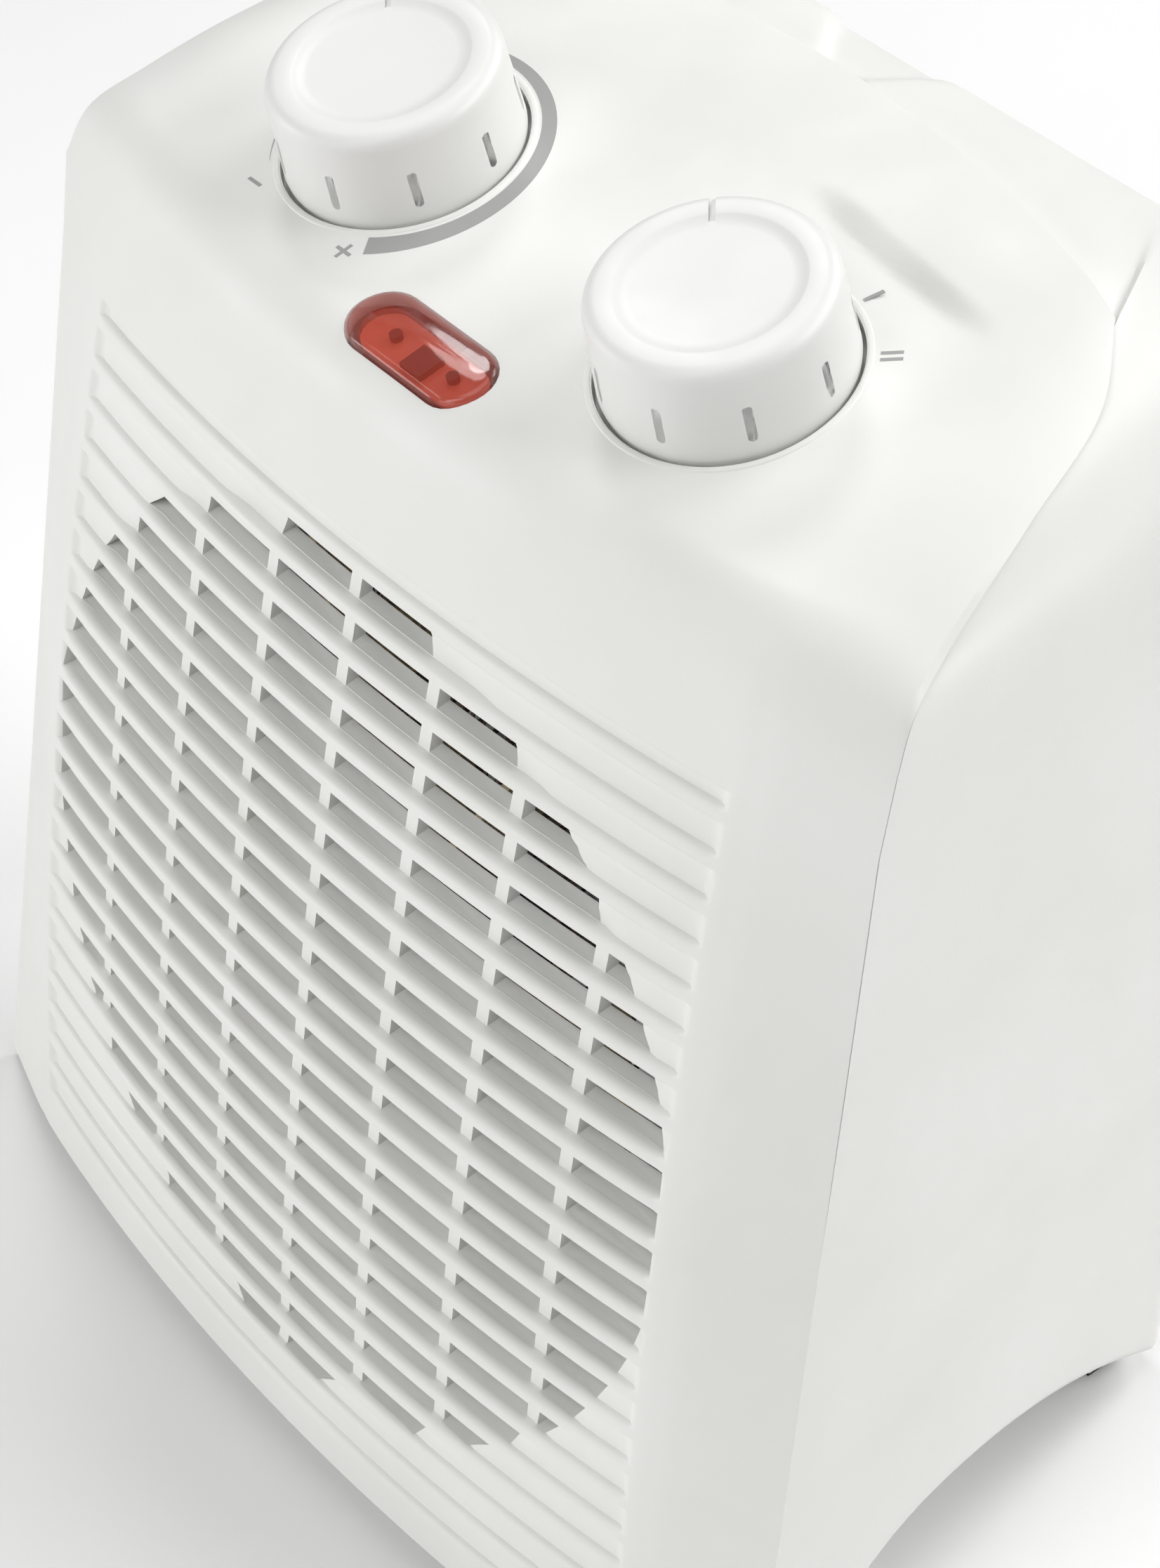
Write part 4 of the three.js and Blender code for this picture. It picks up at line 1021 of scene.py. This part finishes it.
def radial_stroke(angle, offset):
    """Ends of a stroke that points away from the selector, moved sideways by offset."""
    along = np.array([math.cos(angle), math.sin(angle)])
    aside = np.array([-along[1], along[0]]) * offset
    centre = np.array([KNOB_OFFSET, 0])
    return [centre + reach * along + aside for reach in STROKE_ENDS]


def panel_marks():
    """The crescent with its minus and plus, and the selector's one and two strokes."""
    minus_u, minus_v = -KNOB_OFFSET - 12.6, -21.3
    plus_u, plus_v = -KNOB_OFFSET + 12.5, -22.2
    strokes = [
        ((minus_u - 1.6, minus_v), (minus_u + 1.6, minus_v)),
        ((plus_u - 1.7, plus_v), (plus_u + 1.7, plus_v)),
        ((plus_u, plus_v - 1.7), (plus_u, plus_v + 1.7)),
        radial_stroke(SETTING_ONE, 0),
        radial_stroke(SETTING_TWO, STROKE_ASIDE),
        radial_stroke(SETTING_TWO, -STROKE_ASIDE),
    ]
    return joined([heat_crescent(), *(stroke(start, end, STROKE_WIDTH) for start, end in strokes)])


show("panel_marks", panel_marks(), PANEL, "casing", "knob_white", material="mark_grey")


RING_SEGMENTS = 128
RING_START = WELL_RADIUS + 0.05
RING_MIDDLE = WELL_RADIUS + 0.6
# distance outside RING_START, height over the panel
RING_PROFILE = ((0, -0.7), (0, -0.1), (0.25, 0.18), (0.6, 0.26), (0.95, 0.18), (1.2, -0.1), (1.2, -0.7))


def well_ring(side):
    """A fine raised ring round a knob's well."""
    rings = []
    for angle in np.linspace(0, 2 * math.pi, RING_SEGMENTS, endpoint=False):
        across, along = math.cos(angle), math.sin(angle)
        height = panel_height(side + RING_MIDDLE * across, RING_MIDDLE * along)
        rings.append(np.array([
            (side + (RING_START + out) * across, (RING_START + out) * along, height + up)
            for out, up in RING_PROFILE
        ]))
    return closed_loft(rings)


rings = joined([well_ring(-KNOB_OFFSET), well_ring(KNOB_OFFSET)])
show("well_rings", rings, PANEL, "casing", "housing_white")


# ---- knobs ----
KNOB_FOOT = 19.9
KNOB_CROWN = 19.1
KNOB_HEIGHT = 16.55
KNOB_EDGE = 2.3  # rounding of the crown's edge
KNOB_SKIRT = -2.2  # the drum's lower end, inside the well
KNOB_SOCKET = 17  # radius of the hollow under the drum
DISH = ((14.6, 0), (14.2, 0.08), (13.8, 0.3), (12, 0.4), (6, 0.55), (0, 0.6))  # radius, depth
GROOVES = 9
GROOVE_LENGTH = 12.6
GROOVE_WIDTH = 1.5
GROOVE_FLOOR = KNOB_CROWN + 0.35
NOTCH_START = 13.1
NOTCH_WIDTH = 1.1
POINTER = math.radians(138)
FIRST_GROOVE = math.radians(-29)


def knob():
    """A drum with a shallow dished top, grip grooves down its side and a pointer notch."""
    profile = [(0, 12.5), (14, 12.3), (KNOB_SOCKET, 0), (KNOB_SOCKET, KNOB_SKIRT)]
    profile += [(KNOB_FOOT - 0.4, KNOB_SKIRT), (KNOB_FOOT, 0.2)]
    slope = (KNOB_FOOT - KNOB_CROWN) / KNOB_HEIGHT
    for share in np.linspace(0.15, 0.85, 6):
        profile.append((KNOB_FOOT - slope * share * KNOB_HEIGHT, share * KNOB_HEIGHT))
    for angle in np.radians(np.linspace(4, 90, 9)):
        across = KNOB_CROWN + 0.12 - KNOB_EDGE * (1 - math.cos(angle))
        profile.append((across, KNOB_HEIGHT - KNOB_EDGE * (1 - math.sin(angle))))
    profile += [(across, KNOB_HEIGHT - sunk) for across, sunk in DISH]
    drum = turned(profile, 128)
    cutters = []
    for k in range(GROOVES):
        outline = [(x + 9, y) for x, y in stadium(GROOVE_LENGTH, GROOVE_WIDTH, 8)]
        groove = prism(outline, GROOVE_FLOOR, 22)
        upright = Matrix.Rotation(math.radians(-90), 4, "Y") @ Matrix.Scale(-1, 4, (0, 0, 1))
        turn = Matrix.Rotation(FIRST_GROOVE + 2 * math.pi * k / GROOVES, 4, "Z")
        cutters.append(transformed(groove, turn @ upright))
    half = NOTCH_WIDTH / 2
    notch = box(NOTCH_START, 20, -half, half, KNOB_HEIGHT - 1, KNOB_HEIGHT + 1)
    cutters.append(transformed(notch, Matrix.Rotation(POINTER, 4, "Z")))
    return boolean(drum, cutters, "DIFFERENCE")


for side, name in ((-1, "thermostat"), (1, "selector")):
    place = PANEL @ Matrix.Translation((side * KNOB_OFFSET, 0, 0))
    dial = f"{name}_dial"
    show(dial, knob(), place, dial, "knob_white", [f"{name}_knob"])


# ---- pilot lens ----
LENS_PLACE = PANEL @ Matrix.Translation((0, LENS_V, 0))
TRAY_INSET = 1.7  # the tray's edge inside the lens's own
TRAY_BOTTOM = -3.4
TRAY_TOP = -2.7
PIN_RADIUS = 1.05
PIN_PLACES = ((-7.1, 0.2), (7.1, 0.2))
BLOCK_EDGES = (-1.6, 3.3, -3.4, 1.6)  # left, right, near and far edges of the block between the pins
CONTACT_BOTTOM = -2.6
CONTACT_TOP = -1.5


def pilot_lens():
    """A hollow cap with a rounded upper edge, open below."""
    inside = [(3.4, -0.9), (2.0, -1.2), (1.4, -2.0), (1.3, -8.4)]
    outside = [(0, -8.4), (0, -0.2), (0.15, 0.2), (0.5, 0.48), (1.1, 0.62), (2.4, 0.78), (4.2, 0.9)]
    rings = []
    for inset, height in inside + outside:
        outline = stadium(LENS_LENGTH - 2 * inset, LENS_WIDTH - 2 * inset)
        rings.append(np.array([(x, y, height) for x, y in outline]))
    return loft(rings)


show("pilot_window", pilot_lens(), LENS_PLACE, "casing", "lens_red", ["pilot_lens"])


def lamp_reflector():
    """The pale tray under the lens that throws the lamps' light upwards."""
    outline = stadium(LENS_LENGTH - 2 * TRAY_INSET, LENS_WIDTH - 2 * TRAY_INSET)
    return prism(outline, TRAY_BOTTOM, TRAY_TOP)


def lamp_contacts():
    """The lamps' two dark pins and the block between them, seen through the lens."""
    pins = []
    for u, v in PIN_PLACES:
        pin = rod(PIN_RADIUS, CONTACT_BOTTOM, CONTACT_TOP, 24)
        pins.append(transformed(pin, Matrix.Translation((u, v, 0))))
    return joined([*pins, box(*BLOCK_EDGES, CONTACT_BOTTOM, CONTACT_TOP)])


show("lamp_reflector", lamp_reflector(), LENS_PLACE, "casing", "lens_red", material="lamp_tray")
show("lamp_contacts", lamp_contacts(), LENS_PLACE, "casing", "black_plastic")


# ---- heating coils ----
COIL_Y = 32
COIL_RADIUS = 4.1
WIRE_RADIUS = 0.4


def heating_coil(radius, turns):
    """A wire wound round a circle of the given radius."""
    steps, sides = turns * 12, 6
    t = np.linspace(0, 2 * math.pi, steps, endpoint=False)
    wind = turns * t
    line = np.stack([
        (radius + COIL_RADIUS * np.cos(wind)) * np.cos(t),
        COIL_Y + COIL_RADIUS * np.sin(wind),
        (radius + COIL_RADIUS * np.cos(wind)) * np.sin(t),
    ], axis=1)
    along = np.roll(line, -1, axis=0) - np.roll(line, 1, axis=0)
    along /= np.linalg.norm(along, axis=1, keepdims=True)
    middle = np.stack([radius * np.cos(t), np.full(steps, COIL_Y), radius * np.sin(t)], axis=1)
    outwards = (line - middle) / COIL_RADIUS
    sideways = np.cross(along, outwards)
    rings = []
    for k in range(sides):
        angle = 2 * math.pi * k / sides
        rings.append(line + WIRE_RADIUS * (math.cos(angle) * outwards + math.sin(angle) * sideways))
    rings.append(rings[0])
    return mesh_of(np.concatenate(rings), grid_faces(sides + 1, steps, ring=True))


for name, radius, turns in (("outer", 54, 110), ("inner", 33, 68)):
    coil = heating_coil(radius, turns)
    show(f"coil_{name}", coil, BLOWER, "casing", "resistance_wire", [f"heating_coil_{name}"])


# ---- materials for the CAD nodes that are shown as they are ----
NODE_MATERIALS = {
    "black_plastic": [
        "thermostat_body",
        "selector_switch",
        "lamp_holder",
        "thermal_cutout",
        "cable_inlet_bush",
        "terminal_block",
    ],
    "neon_glass": ["neon_lamp_left", "neon_lamp_right"],
    "brass": ["thermostat_shaft", "selector_shaft", "bearing_bush_front", "bearing_bush_rear"],
    "sheet_steel": [
        "control_bracket",
        "air_duct",
        "fan_spider",
        "thermal_fuse",
        *(f"bearing_strap_{end}" for end in ("front", "rear")),
        *(f"motor_stud_{side}" for side in ("left", "right")),
        *(f"housing_screw_{number}" for number in (1, 2, 3, 4)),
    ],
    "mica": ["element_frame"],
    "motor_steel": ["motor_shaft", "motor_rotor", "motor_stator"],
    "copper_winding": ["motor_winding"],
    "fan_aluminium": ["fan_impeller"],
    "rubber": [f"foot_{end}_{side}" for end in ("front", "rear") for side in ("left", "right")],
}
for slot, names in NODE_MATERIALS.items():
    for name in names:
        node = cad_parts[name]
        node.data.materials.clear()
        node.data.materials.append(materials[slot])


# ---- floor, light and camera, in metres ----
def plain_floor():
    """A plain pale floor, twelve metres square."""
    mesh = bpy.data.meshes.new("floor")
    half = 6
    corners = [(-half, -half, 0), (half, -half, 0), (half, half, 0), (-half, half, 0)]
    mesh.from_pydata(corners, [], [(0, 1, 2, 3)])
    material, tree = new_material("floor")
    set_colour(material, noise(tree, 200, 3), (0.93, 0.93, 0.93), (0.96, 0.96, 0.96))
    set_roughness(material, noise(tree, 80, 3), 0.6, 0.75)
    mesh.materials.append(material)
    floor = bpy.data.objects.new("floor", mesh)
    bpy.context.scene.collection.objects.link(floor)


def soft_light(name, location, target, size, power):
    light = bpy.data.lights.new(name, "AREA")
    light.shape = "DISK"
    light.size = size
    light.energy = power
    lamp = bpy.data.objects.new(name, light)
    lamp.location = location
    lamp.rotation_euler = (Vector(target) - Vector(location)).to_track_quat("-Z", "Y").to_euler()
    bpy.context.scene.collection.objects.link(lamp)


def surroundings(strength):
    world = bpy.data.worlds.new("studio")
    world.use_nodes = True
    world.node_tree.nodes["Background"].inputs["Color"].default_value = (1, 1, 1, 1)
    world.node_tree.nodes["Background"].inputs["Strength"].default_value = strength
    bpy.context.scene.world = world


def main_camera():
    data = bpy.data.cameras.new("camera")
    data.sensor_width = 36
    data.lens = 90.1
    data.clip_start = 0.01
    camera = bpy.data.objects.new("camera", data)
    camera.location = (0.3947, -0.3175, 0.5598)
    camera.rotation_euler = (math.radians(48.9), 0, math.radians(51.1))
    bpy.context.scene.collection.objects.link(camera)
    bpy.context.scene.camera = camera


plain_floor()
surroundings(0.02)
soft_light("top", (0, 0.1, 2.0), (0, 0, 0.12), 1.4, 7.3)
soft_light("front_top", (0.3, -1.2, 1.6), (0, 0, 0.12), 1.2, 9.8)
soft_light("rear_right", (1.3, 1.0, 1.3), (0, 0, 0.12), 1.2, 18.5)
soft_light("back", (0.2, 1.7, 1.4), (0, 0, 0.12), 1.2, 19.5)
soft_light("front_low", (0.2, -1.9, 0.75), (0, 0, 0.14), 1.0, 7)
soft_light("left_low", (-1.4, -1.5, 0.4), (0, 0, 0.14), 1.0, 13.2)
soft_light("glint", (-0.70, 0.37, 1.15), (0, 0, 0.22), 0.3, 2.6)
main_camera()
bpy.context.scene.view_settings.view_transform = "Standard"
